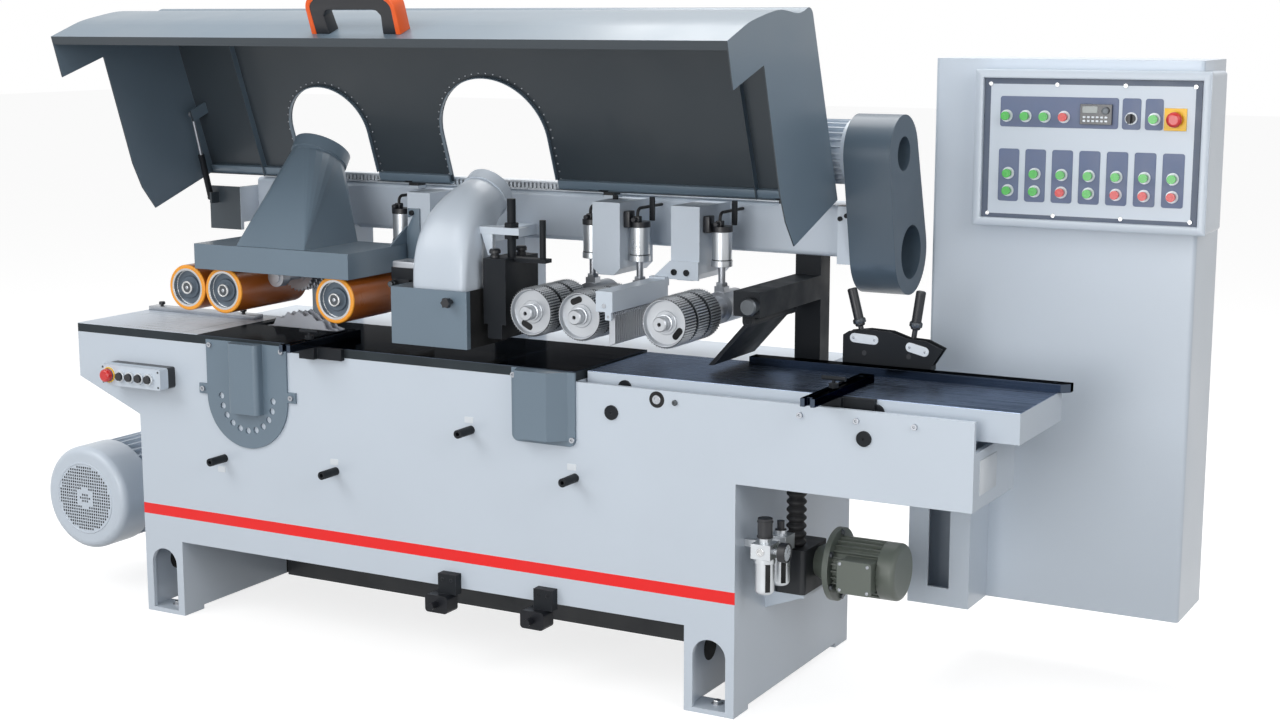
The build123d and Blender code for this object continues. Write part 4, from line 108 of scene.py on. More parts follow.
class Board:
    """Places and links the nodes of one node tree."""

    def __init__(self, tree: bpy.types.NodeTree) -> None:
        """Keep the tree, emptied."""
        self.tree = tree
        tree.nodes.clear()

    def add(self, kind: str, **settings: object) -> bpy.types.Node:
        """Add a node.

        Args:
            kind: Blender's name of the node type.
            settings: Properties to set on it.

        Returns:
            The new node.
        """
        node = self.tree.nodes.new(kind)
        node.location = (len(self.tree.nodes) * 30.0, 0.0)
        for key, value in settings.items():
            setattr(node, key, value)
        return node

    def feed(self, socket: Socket, value: object) -> None:
        """Link a socket into another, or set its value."""
        if isinstance(value, Socket):
            self.tree.links.new(value, socket)
        else:
            socket.default_value = value

    def math(self, operation: str, first: object, second: object = 0.0, clamp: bool = False) -> Socket:
        """Add a Math node.

        Args:
            operation: Name of the operation.
            first: Socket or number.
            second: Socket or number.
            clamp: Hold the result between 0 and 1.

        Returns:
            The result socket.
        """
        node = self.add("ShaderNodeMath", operation=operation, use_clamp=clamp)
        self.feed(node.inputs[0], first)
        self.feed(node.inputs[1], second)
        return node.outputs[0]

    def vector(self, operation: str, first: object, second: object, out: int = 0) -> Socket:
        """Add a Vector Math node.

        Args:
            operation: Name of the operation.
            first: Socket or vector.
            second: Socket or vector.
            out: 0 for the vector result, 1 for the value.

        Returns:
            The result socket.
        """
        node = self.add("ShaderNodeVectorMath", operation=operation)
        self.feed(node.inputs[0], first)
        self.feed(node.inputs[1], second)
        return node.outputs[out]

    def mix_colour(self, factor: object, low: object, high: object) -> Socket:
        """Blend two colours by a factor and give the result socket."""
        node = self.add("ShaderNodeMix", data_type="RGBA")
        self.feed(node.inputs[0], factor)
        self.feed(node.inputs[6], low)
        self.feed(node.inputs[7], high)
        return node.outputs[2]

    def mix_value(self, factor: object, low: object, high: object) -> Socket:
        """Blend two numbers by a factor and give the result socket."""
        node = self.add("ShaderNodeMix", data_type="FLOAT")
        self.feed(node.inputs[0], factor)
        self.feed(node.inputs[2], low)
        self.feed(node.inputs[3], high)
        return node.outputs[0]

    def group(self, tree: bpy.types.NodeTree, **values: object) -> bpy.types.Node:
        """Place a node group.

        Args:
            tree: The group's tree.
            values: Inputs by name, a socket or a value each.

        Returns:
            The group node.
        """
        node = self.add("ShaderNodeGroup", node_tree=tree)
        for key, value in values.items():
            self.feed(node.inputs[key], value)
        return node


class Effects:
    """Node groups that several finishes share, each built once."""

    def __init__(self) -> None:
        """Build all groups."""
        self.mottle = self.build_mottle()
        self.edge = self.build_edge()
        self.dust = self.build_dust()
        self.brush = self.build_brush()
        self.block = self.build_block()
        self.round = self.build_round()
        self.facing = self.build_facing()

    def begin(self, name: str, inputs: dict[str, str],
              outputs: Sequence[str]) -> tuple[Board, bpy.types.Node, bpy.types.Node]:
        """Start a group.

        Args:
            name: Group name.
            inputs: Socket type by input name.
            outputs: Names of the value outputs.

        Returns:
            The board and the group's input and output nodes.
        """
        tree = bpy.data.node_groups.new(name, "ShaderNodeTree")
        for key, kind in inputs.items():
            tree.interface.new_socket(key, in_out="INPUT", socket_type=kind)
        for key in outputs:
            tree.interface.new_socket(key, in_out="OUTPUT", socket_type="NodeSocketFloat")
        board = Board(tree)
        return board, board.add("NodeGroupInput"), board.add("NodeGroupOutput")

    def noise(self, board: Board, vector: object, scale: object, detail: float) -> Socket:
        """Add a noise texture.

        Args:
            board: Where to add it.
            vector: Coordinate socket.
            scale: Noise scale, per metre.
            detail: Octaves.

        Returns:
            The noise value.
        """
        node = board.add("ShaderNodeTexNoise")
        board.feed(node.inputs["Vector"], vector)
        board.feed(node.inputs["Scale"], scale)
        board.feed(node.inputs["Detail"], detail)
        return node.outputs["Fac"]

    def build_mottle(self) -> bpy.types.NodeTree:
        """Slow clouds and fine speckle over a surface."""
        board, source, sink = self.begin(
            "mottle", {"Scale": "NodeSocketFloat", "Speckle": "NodeSocketFloat"}, ("Cloud", "Fine"))
        place = board.add("ShaderNodeTexCoord").outputs["Object"]
        cloud = self.noise(board, place, source.outputs["Scale"], 4.0)
        spread = board.add("ShaderNodeMapRange", clamp=True)
        board.feed(spread.inputs["Value"], cloud)
        board.feed(spread.inputs["From Min"], 0.3)
        board.feed(spread.inputs["From Max"], 0.7)
        board.feed(sink.inputs["Cloud"], spread.outputs[0])
        board.feed(sink.inputs["Fine"], self.noise(board, place, source.outputs["Speckle"], 2.0))
        return board.tree

    def build_edge(self) -> bpy.types.NodeTree:
        """Mask of rubbed edges, broken up by noise."""
        inputs = {"Radius": "NodeSocketFloat", "Break": "NodeSocketFloat"}
        board, source, sink = self.begin("edge_rub", inputs, ("Mask",))
        bevel = board.add("ShaderNodeBevel", samples=4)
        board.feed(bevel.inputs["Radius"], source.outputs["Radius"])
        flat = board.add("ShaderNodeNewGeometry").outputs["True Normal"]
        turn = board.vector("DOT_PRODUCT", bevel.outputs[0], flat, 1)
        lost = board.math("SUBTRACT", 1.0, turn, clamp=True)
        place = board.add("ShaderNodeTexCoord").outputs["Object"]
        broken = self.noise(board, place, source.outputs["Break"], 5.0)
        sharp = board.math("MULTIPLY", board.math("SUBTRACT", broken, 0.42, clamp=True), 7.0, clamp=True)
        strong = board.math("MULTIPLY", lost, 9.0, clamp=True)
        board.feed(sink.inputs["Mask"], board.math("MULTIPLY", strong, sharp, clamp=True))
        return board.tree

    def build_dust(self) -> bpy.types.NodeTree:
        """Mask of fine dust on faces that look up."""
        board, source, sink = self.begin("settled_dust", {"Patch": "NodeSocketFloat"}, ("Mask",))
        normal = board.add("ShaderNodeNewGeometry").outputs["Normal"]
        up = board.add("ShaderNodeSeparateXYZ")
        board.feed(up.inputs[0], normal)
        facing_up = board.math("SUBTRACT", up.outputs[2], 0.55, clamp=True)
        lift = board.math("MULTIPLY", facing_up, 2.2, clamp=True)
        place = board.add("ShaderNodeTexCoord").outputs["Object"]
        patch = self.noise(board, place, source.outputs["Patch"], 6.0)
        board.feed(sink.inputs["Mask"], board.math("MULTIPLY", lift, patch, clamp=True))
        return board.tree

    def build_brush(self) -> bpy.types.NodeTree:
        """Fine parallel lines of a ground or brushed surface."""
        board, source, sink = self.begin("brush_lines", {"Stretch": "NodeSocketVector"}, ("Line",))
        place = board.add("ShaderNodeTexCoord").outputs["Object"]
        stretched = board.vector("MULTIPLY", place, source.outputs["Stretch"])
        board.feed(sink.inputs["Line"], self.noise(board, stretched, 1.0, 3.0))
        return board.tree

    def build_block(self) -> bpy.types.NodeTree:
        """Mask of a box in object space."""
        board, source, sink = self.begin(
            "box_zone", {"Low": "NodeSocketVector", "High": "NodeSocketVector"}, ("Mask",))
        place = board.add("ShaderNodeTexCoord").outputs["Object"]
        above = board.vector("SUBTRACT", place, source.outputs["Low"])
        below = board.vector("SUBTRACT", source.outputs["High"], place)
        least = board.add("ShaderNodeSeparateXYZ")
        board.feed(least.inputs[0], board.vector("MINIMUM", above, below))
        inner = board.math("MINIMUM", least.outputs[0], least.outputs[1])
        inner = board.math("MINIMUM", inner, least.outputs[2])
        board.feed(sink.inputs["Mask"], board.math("GREATER_THAN", inner, 0.0))
        return board.tree

    def build_round(self) -> bpy.types.NodeTree:
        """Mask of a tube round an axis in object space."""
        inputs = {"Centre": "NodeSocketVector", "Along": "NodeSocketVector"}
        inputs.update({"Inner": "NodeSocketFloat", "Outer": "NodeSocketFloat"})
        board, source, sink = self.begin("round_zone", inputs, ("Mask",))
        place = board.add("ShaderNodeTexCoord").outputs["Object"]
        arm = board.vector("SUBTRACT", place, source.outputs["Centre"])
        reach = board.vector("DOT_PRODUCT", arm, source.outputs["Along"], 1)
        axial = board.add("ShaderNodeVectorMath", operation="SCALE")
        board.feed(axial.inputs[0], source.outputs["Along"])
        board.feed(axial.inputs["Scale"], reach)
        away = board.vector("LENGTH", board.vector("SUBTRACT", arm, axial.outputs[0]), (0, 0, 0), 1)
        outside = board.math("GREATER_THAN", away, source.outputs["Inner"])
        inside = board.math("LESS_THAN", away, source.outputs["Outer"])
        board.feed(sink.inputs["Mask"], board.math("MULTIPLY", outside, inside))
        return board.tree

    def build_facing(self) -> bpy.types.NodeTree:
        """Mask of the faces that look one way in object space."""
        board, source, sink = self.begin(
            "facing_zone", {"Way": "NodeSocketVector", "Least": "NodeSocketFloat"}, ("Mask",))
        normal = board.add("ShaderNodeTexCoord").outputs["Normal"]
        turn = board.vector("DOT_PRODUCT", normal, source.outputs["Way"], 1)
        board.feed(sink.inputs["Mask"], board.math("GREATER_THAN", turn, source.outputs["Least"]))
        return board.tree


EFFECTS = Effects()


@dataclass
class Layer:
    """Sockets that one finish gives to a material."""

    colour: Socket
    rough: Socket
    metallic: float
    height: Socket


@dataclass(frozen=True)
class Finish:
    """One surface finish: colour, gloss, unevenness, wear and dust.

    Sizes are in metres, pattern scales per metre.
    """

    name: str
    colour: Rgb
    rough: float
    metallic: float = 0.0
    coat: float = 0.0
    rim_tint: float = 1.0
    variation: float = 0.05
    mottle: float = 5.0
    speckle: float = 420.0
    wear: float = 0.0
    wear_colour: Rgb = (150, 152, 152)
    dust: float = 0.0
    dust_colour: Rgb = (196, 188, 172)
    brush: Optional[Point] = None
    brush_depth: float = 0.5
    bump: float = 0.04
    bump_distance: float = 0.0006
    soft_edge: float = 0.0012
    transmission: float = 0.0
    glow: float = 0.0
    slot: str = "paint_white"

    def lay(self, board: Board) -> Layer:
        """Add this finish's nodes.

        Args:
            board: The material's board.

        Returns:
            The sockets it gives.
        """
        mottle = board.group(EFFECTS.mottle, Scale=self.mottle, Speckle=self.speckle)
        cloud, fine = mottle.outputs["Cloud"], mottle.outputs["Fine"]
        dark, light = linear(self.colour, 1.0 - self.variation), linear(self.colour, 1.0 + self.variation)
        colour = board.mix_colour(cloud, dark, light)
        rough = board.mix_value(cloud, self.rough * 0.82, min(self.rough * 1.18, 1.0))
        height = fine
        if self.brush is not None:
            line = board.group(EFFECTS.brush, Stretch=self.brush).outputs["Line"]
            colour = board.mix_colour(board.math("MULTIPLY", line, self.brush_depth), colour, dark)
            rough = board.math("ADD", rough, board.math("MULTIPLY", board.math("SUBTRACT", line, 0.5), 0.25))
            height = line
        if self.wear > 0.0:
            mask = board.group(EFFECTS.edge, Radius=0.0025, Break=38.0).outputs["Mask"]
            worn = board.math("MULTIPLY", mask, self.wear)
            colour = board.mix_colour(worn, colour, linear(self.wear_colour))
        if self.dust > 0.0:
            mask = board.group(EFFECTS.dust, Patch=9.0).outputs["Mask"]
            amount = board.math("MULTIPLY", mask, self.dust)
            colour = board.mix_colour(amount, colour, linear(self.dust_colour))
            rough = board.mix_value(amount, rough, 0.85)
        return Layer(colour, rough, self.metallic, height)


@dataclass(frozen=True)
class Zone:
    """Box in millimetres where another finish shows."""

    finish: Finish
    low: Point
    high: Point

    def mask(self, board: Board) -> Socket:
        """Mask of the box."""
        return board.group(EFFECTS.block, Low=metres(self.low), High=metres(self.high)).outputs["Mask"]


@dataclass(frozen=True)
class RoundZone:
    """Tube in millimetres round an axis where another finish shows."""

    finish: Finish
    centre: Point
    along: Axis
    outer: float
    inner: float = -1.0

    def mask(self, board: Board) -> Socket:
        """Mask of the tube."""
        node = board.group(EFFECTS.round, Centre=metres(self.centre), Along=self.along.value)
        board.feed(node.inputs["Inner"], self.inner * MM)
        board.feed(node.inputs["Outer"], self.outer * MM)
        return node.outputs["Mask"]


@dataclass(frozen=True)
class FaceZone:
    """Faces that look one way, where another finish shows."""

    finish: Finish
    way: Point
    least: float = 0.3

    def mask(self, board: Board) -> Socket:
        """Mask of the faces."""
        return board.group(EFFECTS.facing, Way=self.way, Least=self.least).outputs["Mask"]


AnyZone = Zone | RoundZone | FaceZone


class Coat:
    """Makes materials from finishes and keeps those already made."""

    made: dict[str, bpy.types.Material] = {}

    @classmethod
    def material(cls, finish: Finish, name: str = "", zones: Sequence[AnyZone] = ()) -> bpy.types.Material:
        """Give the material of a finish, with zones of other finishes over it.

        Args:
            finish: Finish of the whole surface.
            name: Material name, or the finish's own.
            zones: Places with another finish, the last on top.

        Returns:
            The material.
        """
        name = name or finish.name
        if name in cls.made:
            return cls.made[name]
        material = bpy.data.materials.new(name)
        material.use_nodes = True
        board = Board(material.node_tree)
        shader = board.add("ShaderNodeBsdfPrincipled")
        layer = finish.lay(board)
        colour, rough, height = layer.colour, layer.rough, layer.height
        metallic: object = finish.metallic
        for zone in zones:
            mask, over = zone.mask(board), zone.finish.lay(board)
            colour = board.mix_colour(mask, colour, over.colour)
            rough = board.mix_value(mask, rough, over.rough)
            height = board.mix_value(mask, height, over.height)
            if isinstance(metallic, Socket) or metallic != over.metallic:
                metallic = board.mix_value(mask, metallic, over.metallic)
        board.feed(shader.inputs["Base Color"], colour)
        board.feed(shader.inputs["Roughness"], rough)
        board.feed(shader.inputs["Metallic"], metallic)
        tint = finish.rim_tint
        shader.inputs["Specular Tint"].default_value = (tint, tint, tint, 1.0)
        shader.inputs["Coat Weight"].default_value = finish.coat
        shader.inputs["Coat Roughness"].default_value = 0.12
        shader.inputs["Transmission Weight"].default_value = finish.transmission
        if finish.glow > 0.0:
            board.feed(shader.inputs["Emission Color"], colour)
            shader.inputs["Emission Strength"].default_value = finish.glow
        bump = board.add("ShaderNodeBump")
        bump.inputs["Strength"].default_value = finish.bump
        bump.inputs["Distance"].default_value = finish.bump_distance
        board.feed(bump.inputs["Height"], height)
        if finish.soft_edge > 0.0:
            bevel = board.add("ShaderNodeBevel", samples=4)
            bevel.inputs["Radius"].default_value = finish.soft_edge
            board.feed(bump.inputs["Normal"], bevel.outputs[0])
        board.feed(shader.inputs["Normal"], bump.outputs[0])
        sink = board.add("ShaderNodeOutputMaterial")
        board.feed(sink.inputs["Surface"], shader.outputs[0])
        cls.made[name] = material
        return material


class Shop:
    """The finishes used on this machine; some of their colours are painted shade, painted light or painted
    reflection.
    """

    white = Finish("white_enamel", (196, 206, 217), 0.34, coat=0.12, variation=0.016, mottle=3.0,
                   wear=0.2, wear_colour=(176, 180, 184), bump=0.05)
    slate = Finish("slate_enamel", (104, 121, 135), 0.36, coat=0.12, variation=0.03, mottle=3.5,
                   wear=0.22, wear_colour=(140, 152, 162), bump=0.05, slot="paint_slate")
    # painted shade: dark slate for the strut plate at the left end of the feed beam, which lies in shade
    shade = Finish("slate_painted_shade", (52, 62, 70), 0.44, variation=0.05, mottle=5.0, wear=0.2,
                   slot="paint_slate")
    motor = Finish("motor_enamel", (100, 107, 100), 0.42, variation=0.06, mottle=9.0, wear=0.3,
                   slot="motor_grey")
    # painted shade: darker slate for the inward faces of the open hood, which lie in shade under it
    inner = Finish("hood_inside_painted_shade", (46, 55, 62), 0.5, variation=0.04, mottle=3.5, slot="paint_slate")
    # painted shade: darker slate for the belt cover, whose front lies in shade
    belt = Finish("belt_cover_painted_shade", (76, 91, 104), 0.36, coat=0.12, variation=0.03, mottle=3.5,
                  slot="paint_slate")
    infeed = Finish("infeed_plate", (172, 188, 214), 0.26, metallic=0.96, variation=0.06, mottle=4.0,
                    brush=(3.0, 240.0, 240.0), brush_depth=0.18, bump=0.03, bump_distance=0.0002,
                    slot="table_steel")
    # painted reflection: dark steel with little rim reflection for the table top under the hood, standing for
    # the dark hood it mirrors
    table = Finish("table_painted_dark_reflection", (70, 79, 92), 0.14, metallic=1.0, rim_tint=0.12, variation=0.06,
                   mottle=4.0, brush=(3.0, 240.0, 240.0), brush_depth=0.22, bump=0.03,
                   bump_distance=0.0002, slot="table_steel")
    # painted reflection: pale, weakly metallic colour for the outfeed end of the table, standing for the
    # bright surroundings it mirrors
    outfeed = Finish("outfeed_painted_pale_reflection", (214, 224, 236), 0.3, metallic=0.3, variation=0.04, mottle=4.0,
                     brush=(3.0, 240.0, 240.0), brush_depth=0.15, slot="table_steel")
    # painted reflection: pale, barely metallic colour for the saw blades, standing for the bright
    # surroundings their steel reflects
    blade = Finish("blade_painted_reflection", (206, 211, 220), 0.4, metallic=0.2, variation=0.04, mottle=12.0,
                   slot="bright_steel")
    edge = Finish("table_edge", (52, 58, 62), 0.42, metallic=0.4, variation=0.12, mottle=12.0,
                  wear=0.4, wear_colour=(120, 122, 120), slot="table_steel")
    bright = Finish("turned_steel", (196, 197, 198), 0.24, metallic=1.0, variation=0.05, mottle=16.0,
                    bump=0.02, slot="bright_steel")
    face = Finish("faced_steel", (182, 186, 191), 0.34, metallic=0.65, variation=0.05, mottle=16.0,
                  slot="bright_steel")
    satin = Finish("satin_steel", (168, 172, 178), 0.36, metallic=0.85, variation=0.06, mottle=20.0,
                   bump=0.04, slot="bright_steel")
    dark = Finish("oiled_steel", (84, 88, 92), 0.36, metallic=0.85, variation=0.1, mottle=22.0, bump=0.08,
                  slot="bright_steel")
    dish = Finish("cast_dish", (86, 98, 110), 0.4, metallic=0.5, variation=0.1, mottle=26.0, bump=0.06,
                  slot="bright_steel")
    iron = Finish("black_iron", (20, 24, 29), 0.58, rim_tint=0.4, variation=0.12, mottle=14.0, bump=0.08,
                  wear=0.3, wear_colour=(96, 100, 104), slot="black_iron")
    aluminium = Finish("anodised_tube", (196, 200, 204), 0.32, metallic=0.8, variation=0.03, mottle=14.0,
                       bump=0.03, slot="aluminium")
    # painted light and shade: pale amber for the lit front ring of the rubber rollers; the darker orange
    # below stands for the shade on the sleeves under the hood
    painted_light_amber = Finish("amber_rubber", (238, 158, 46), 0.4, variation=0.05, mottle=14.0, slot="orange_rubber")
    orange = Finish("orange_rubber", (172, 92, 30), 0.32, variation=0.08, mottle=14.0, coat=0.15, bump=0.06,
                    slot="orange_rubber")
    orange_plastic = Finish("orange_plastic", (232, 92, 24), 0.34, variation=0.04, mottle=30.0,
                            slot="orange_rubber")
    rubber = Finish("black_rubber", (26, 26, 28), 0.6, variation=0.12, mottle=30.0, bump=0.12,
                    slot="black_rubber")
    plastic = Finish("black_plastic", (26, 28, 33), 0.38, variation=0.1, mottle=40.0, bump=0.08,
                     slot="black_plastic")
    red = Finish("red_plastic", (204, 34, 34), 0.26, variation=0.05, mottle=60.0, coat=0.3,
                 slot="red_plastic")
    green = Finish("green_plastic", (56, 178, 62), 0.26, variation=0.05, mottle=60.0, coat=0.3,
                   slot="green_plastic")
    yellow = Finish("yellow_plate", (240, 190, 22), 0.4, variation=0.03, mottle=20.0)
    red_band = Finish("red_band", (236, 8, 8), 0.4, rim_tint=0.3, variation=0.02, mottle=6.0)
    legend = Finish("legend_plate", (88, 102, 134), 0.4, variation=0.04, mottle=30.0, slot="paint_slate")
    # painted shade: dark border round the panel plate for the gasket gap and the shaded side wall of its
    # recess
    gasket_and_shade = Finish("panel_gasket", (74, 86, 106), 0.5, variation=0.05, mottle=20.0, slot="paint_slate")
    pale = Finish("pale_plate", (210, 216, 222), 0.36, metallic=0.15, variation=0.03, mottle=25.0)
    screen = Finish("display_glass", (26, 30, 40), 0.16, variation=0.1, mottle=40.0, coat=0.5,
                    slot="black_plastic")
    glass = Finish("display_window", (96, 108, 106), 0.12, variation=0.06, mottle=60.0, coat=0.6,
                   slot="black_plastic")
    # painted shade: near black for holes, slots, openings and dark insides, which lie in deep shade
    hole = Finish("deep_shadow", (11, 12, 14), 0.85, variation=0.1, mottle=20.0, slot="black_plastic")


class Bench:
    """Models pieces with Blender's operators, one object at a time."""

    @staticmethod
    def clear() -> None:
        """Leave nothing selected."""
        bpy.ops.object.select_all(action="DESELECT")

    @staticmethod
    def only(piece: Piece) -> None:
        """Select one object and make it active."""
        Bench.clear()
        piece.select_set(True)
        bpy.context.view_layer.objects.active = piece

    @staticmethod
    @contextmanager
    def editing(piece: Piece) -> Iterator[None]:
        """Edit mode on one object, with nothing selected at the start."""
        Bench.only(piece)
        bpy.ops.object.mode_set(mode="EDIT")
        bpy.ops.mesh.select_mode(type="VERT")
        bpy.ops.mesh.select_all(action="DESELECT")
        yield
        bpy.ops.object.mode_set(mode="OBJECT")

    @staticmethod
    def pick_points(piece: Piece, test: Callable[[Vector], bool]) -> None:
        """Select the points that pass a test, in edit mode.

        Args:
            piece: The object in edit mode.
            test: Called with a point.
        """
        bpy.ops.mesh.select_mode(type="VERT")
        bpy.ops.mesh.select_all(action="DESELECT")
        mesh = bmesh.from_edit_mesh(piece.data)
        for point in mesh.verts:
            point.select = test(point.co)
        mesh.select_flush_mode()
        bmesh.update_edit_mesh(piece.data)

    @staticmethod
    def pick_faces(piece: Piece, test: Callable[[Vector, Vector], bool]) -> None:
        """Select the faces that pass a test, in edit mode.

        Args:
            piece: The object in edit mode.
            test: Called with a face's centre and normal.
        """
        bpy.ops.mesh.select_mode(type="FACE")
        bpy.ops.mesh.select_all(action="DESELECT")
        mesh = bmesh.from_edit_mesh(piece.data)
        for face in mesh.faces:
            face.select = test(face.calc_center_median(), face.normal)
        mesh.select_flush_mode()
        bmesh.update_edit_mesh(piece.data)

    @staticmethod
    def pick_edges(piece: Piece, test: Callable[[Vector, Vector], bool]) -> None:
        """Select the edges that pass a test, in edit mode.

        Args:
            piece: The object in edit mode.
            test: Called with an edge's middle and direction.
        """
        bpy.ops.mesh.select_mode(type="EDGE")
        bpy.ops.mesh.select_all(action="DESELECT")
        mesh = bmesh.from_edit_mesh(piece.data)
        for edge in mesh.edges:
            first, second = edge.verts[0].co, edge.verts[1].co
            edge.select = test((first + second) / 2, (second - first).normalized())
        mesh.select_flush_mode()
        bmesh.update_edit_mesh(piece.data)

    @staticmethod
    def box(name: str, low: Point, high: Point, bevel: float, segments: int = 2) -> Piece:
        """Model a block with rounded edges.

        Args:
            name: Object name.
            low: Lowest corner, mm.
            high: Highest corner, mm.
            bevel: Size of the edge rounding, mm.
            segments: Steps of the rounding.

        Returns:
            The object.
        """
        Bench.clear()
        first, second = metres(low), metres(high)
        bpy.ops.mesh.primitive_cube_add(size=1.0, location=(first + second) / 2, scale=second - first)
        piece = bpy.context.active_object
        piece.name = name
        bpy.ops.object.transform_apply(location=True, rotation=True, scale=True)
        if bevel > 0.0:
            with Bench.editing(piece):
                bpy.ops.mesh.select_all(action="SELECT")
                bpy.ops.mesh.bevel(offset=bevel * MM, segments=segments, affect="EDGES")
        return piece

    @staticmethod
    def trace(name: str, points: Sequence[Point], closed: bool) -> Piece:
        """Draw a line of edges, point after point.

        Args:
            name: Object name.
            points: Points, mm.
            closed: Fill the outline with a face.

        Returns:
            The object.
        """
        Bench.clear()
        bpy.ops.mesh.primitive_plane_add(size=MM)
        piece = bpy.context.active_object
        piece.name = name
        with Bench.editing(piece):
            bpy.ops.mesh.select_all(action="SELECT")
            bpy.ops.mesh.merge(type="CENTER")
            bpy.ops.transform.translate(value=metres(points[0]))
            for before, after in zip(points, points[1:]):
                step = metres(after) - metres(before)
                bpy.ops.mesh.extrude_vertices_move(TRANSFORM_OT_translate={"value": step})
            if closed:
                bpy.ops.mesh.select_all(action="SELECT")
                bpy.ops.mesh.edge_face_add()
        return piece

    @staticmethod
    def plate(name: str, points: Sequence[Point], push: Point, bevel: float, segments: int = 2) -> Piece:
        """Model a flat plate of any outline.

        Args:
            name: Object name.
            points: Outline, mm.
            push: Way and depth of the thickness, mm.
            bevel: Size of the edge rounding, mm.
            segments: Steps of the rounding.

        Returns:
            The object.
        """
        piece = Bench.trace(name, points, True)
        with Bench.editing(piece):
            bpy.ops.mesh.select_all(action="SELECT")
            bpy.ops.mesh.extrude_region_move(TRANSFORM_OT_translate={"value": metres(push)})
            bpy.ops.mesh.select_all(action="SELECT")
            bpy.ops.mesh.normals_make_consistent(inside=False)
            if bevel > 0.0:
                bpy.ops.mesh.bevel(offset=bevel * MM, segments=segments, affect="EDGES", clamp_overlap=True)
        return piece

    @staticmethod
    def turned(name: str, profile: Outline, centre: Point, axis: Axis, steps: int = 32) -> Piece:
        """Model a turned piece by spinning a profile.

        Args:
            name: Object name.
            profile: Radius and height of each point, mm.
            centre: Where the profile's origin goes, mm.
            axis: Direction of the heights.
            steps: Faces round the piece.

        Returns:
            The object.
        """
        piece = Bench.trace(name, [(radius, 0.0, height) for radius, height in profile], False)
        with Bench.editing(piece):
            bpy.ops.mesh.select_all(action="SELECT")
            bpy.ops.mesh.spin(steps=steps, angle=FULL_TURN, center=(0, 0, 0), axis=(0, 0, 1))
            bpy.ops.mesh.select_all(action="SELECT")
            bpy.ops.mesh.remove_doubles(threshold=0.00001)
            bpy.ops.mesh.normals_make_consistent(inside=False)
        piece.matrix_world = Matrix.Translation(metres(centre)) @ axis.turn()
        Bench.only(piece)
        bpy.ops.object.transform_apply(location=True, rotation=True, scale=True)
        return piece

    @staticmethod
    def copies(piece: Piece, steps: Sequence[Point]) -> list[Piece]:
        """Copy a piece, each copy with its own mesh.

        Args:
            piece: The piece to copy.
            steps: How far each copy is moved, mm.

        Returns:
            The copies.
        """
        made = []
        for step in steps:
            Bench.only(piece)
            bpy.ops.object.duplicate(linked=False)
            copy = bpy.context.active_object
            bpy.ops.transform.translate(value=metres(step))
            bpy.ops.object.transform_apply(location=True, rotation=True, scale=True)
            made.append(copy)
        return made

    @staticmethod
    def array(piece: Piece, count: int, step: Point) -> Piece:
        """Repeat a piece in a straight row.

        Args:
            piece: The piece.
            count: How many there are in the end.
            step: From one to the next, mm.

        Returns:
            The piece, now holding the whole row.
        """
        Bench.only(piece)
        bpy.ops.object.modifier_add(type="ARRAY")
        row = piece.modifiers[-1]
        row.count = count
        row.use_relative_offset, row.use_constant_offset = False, True
        row.constant_offset_displace = metres(step)
        bpy.ops.object.modifier_apply(modifier=row.name)
        return piece

    @staticmethod
    def place(piece: Piece, matrix: Matrix) -> Piece:
        """Move a piece by a matrix and put its place into its mesh."""
        piece.matrix_world = matrix @ piece.matrix_world
        Bench.only(piece)
        bpy.ops.object.transform_apply(location=True, rotation=True, scale=True)
        return piece

    @staticmethod
    def join(name: str, pieces: Sequence[Piece]) -> Piece:
        """Join pieces into one object.

        Args:
            name: Name of the joined object.
            pieces: The pieces.

        Returns:
            The object.
        """
        Bench.only(pieces[0])
        for piece in pieces:
            piece.select_set(True)
        if len(pieces) > 1:
            bpy.ops.object.join()
        joined = bpy.context.view_layer.objects.active
        joined.name = name
        return joined

    @staticmethod
    def dress(piece: Piece, finish: Finish, body: str) -> Piece:
        """Give a piece its material and the body it moves with.

        Args:
            piece: The piece.
            finish: Its finish.
            body: Name of the body.

        Returns:
            The piece.
        """
        piece.data.materials.clear()
        piece.data.materials.append(Coat.material(finish))
        Bench.only(piece)
        bpy.ops.object.shade_smooth_by_angle(angle=math.radians(32.0))
        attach(piece, body)
        log.info("piece %s on %s, %d faces", piece.name, body, len(piece.data.polygons))
        return piece


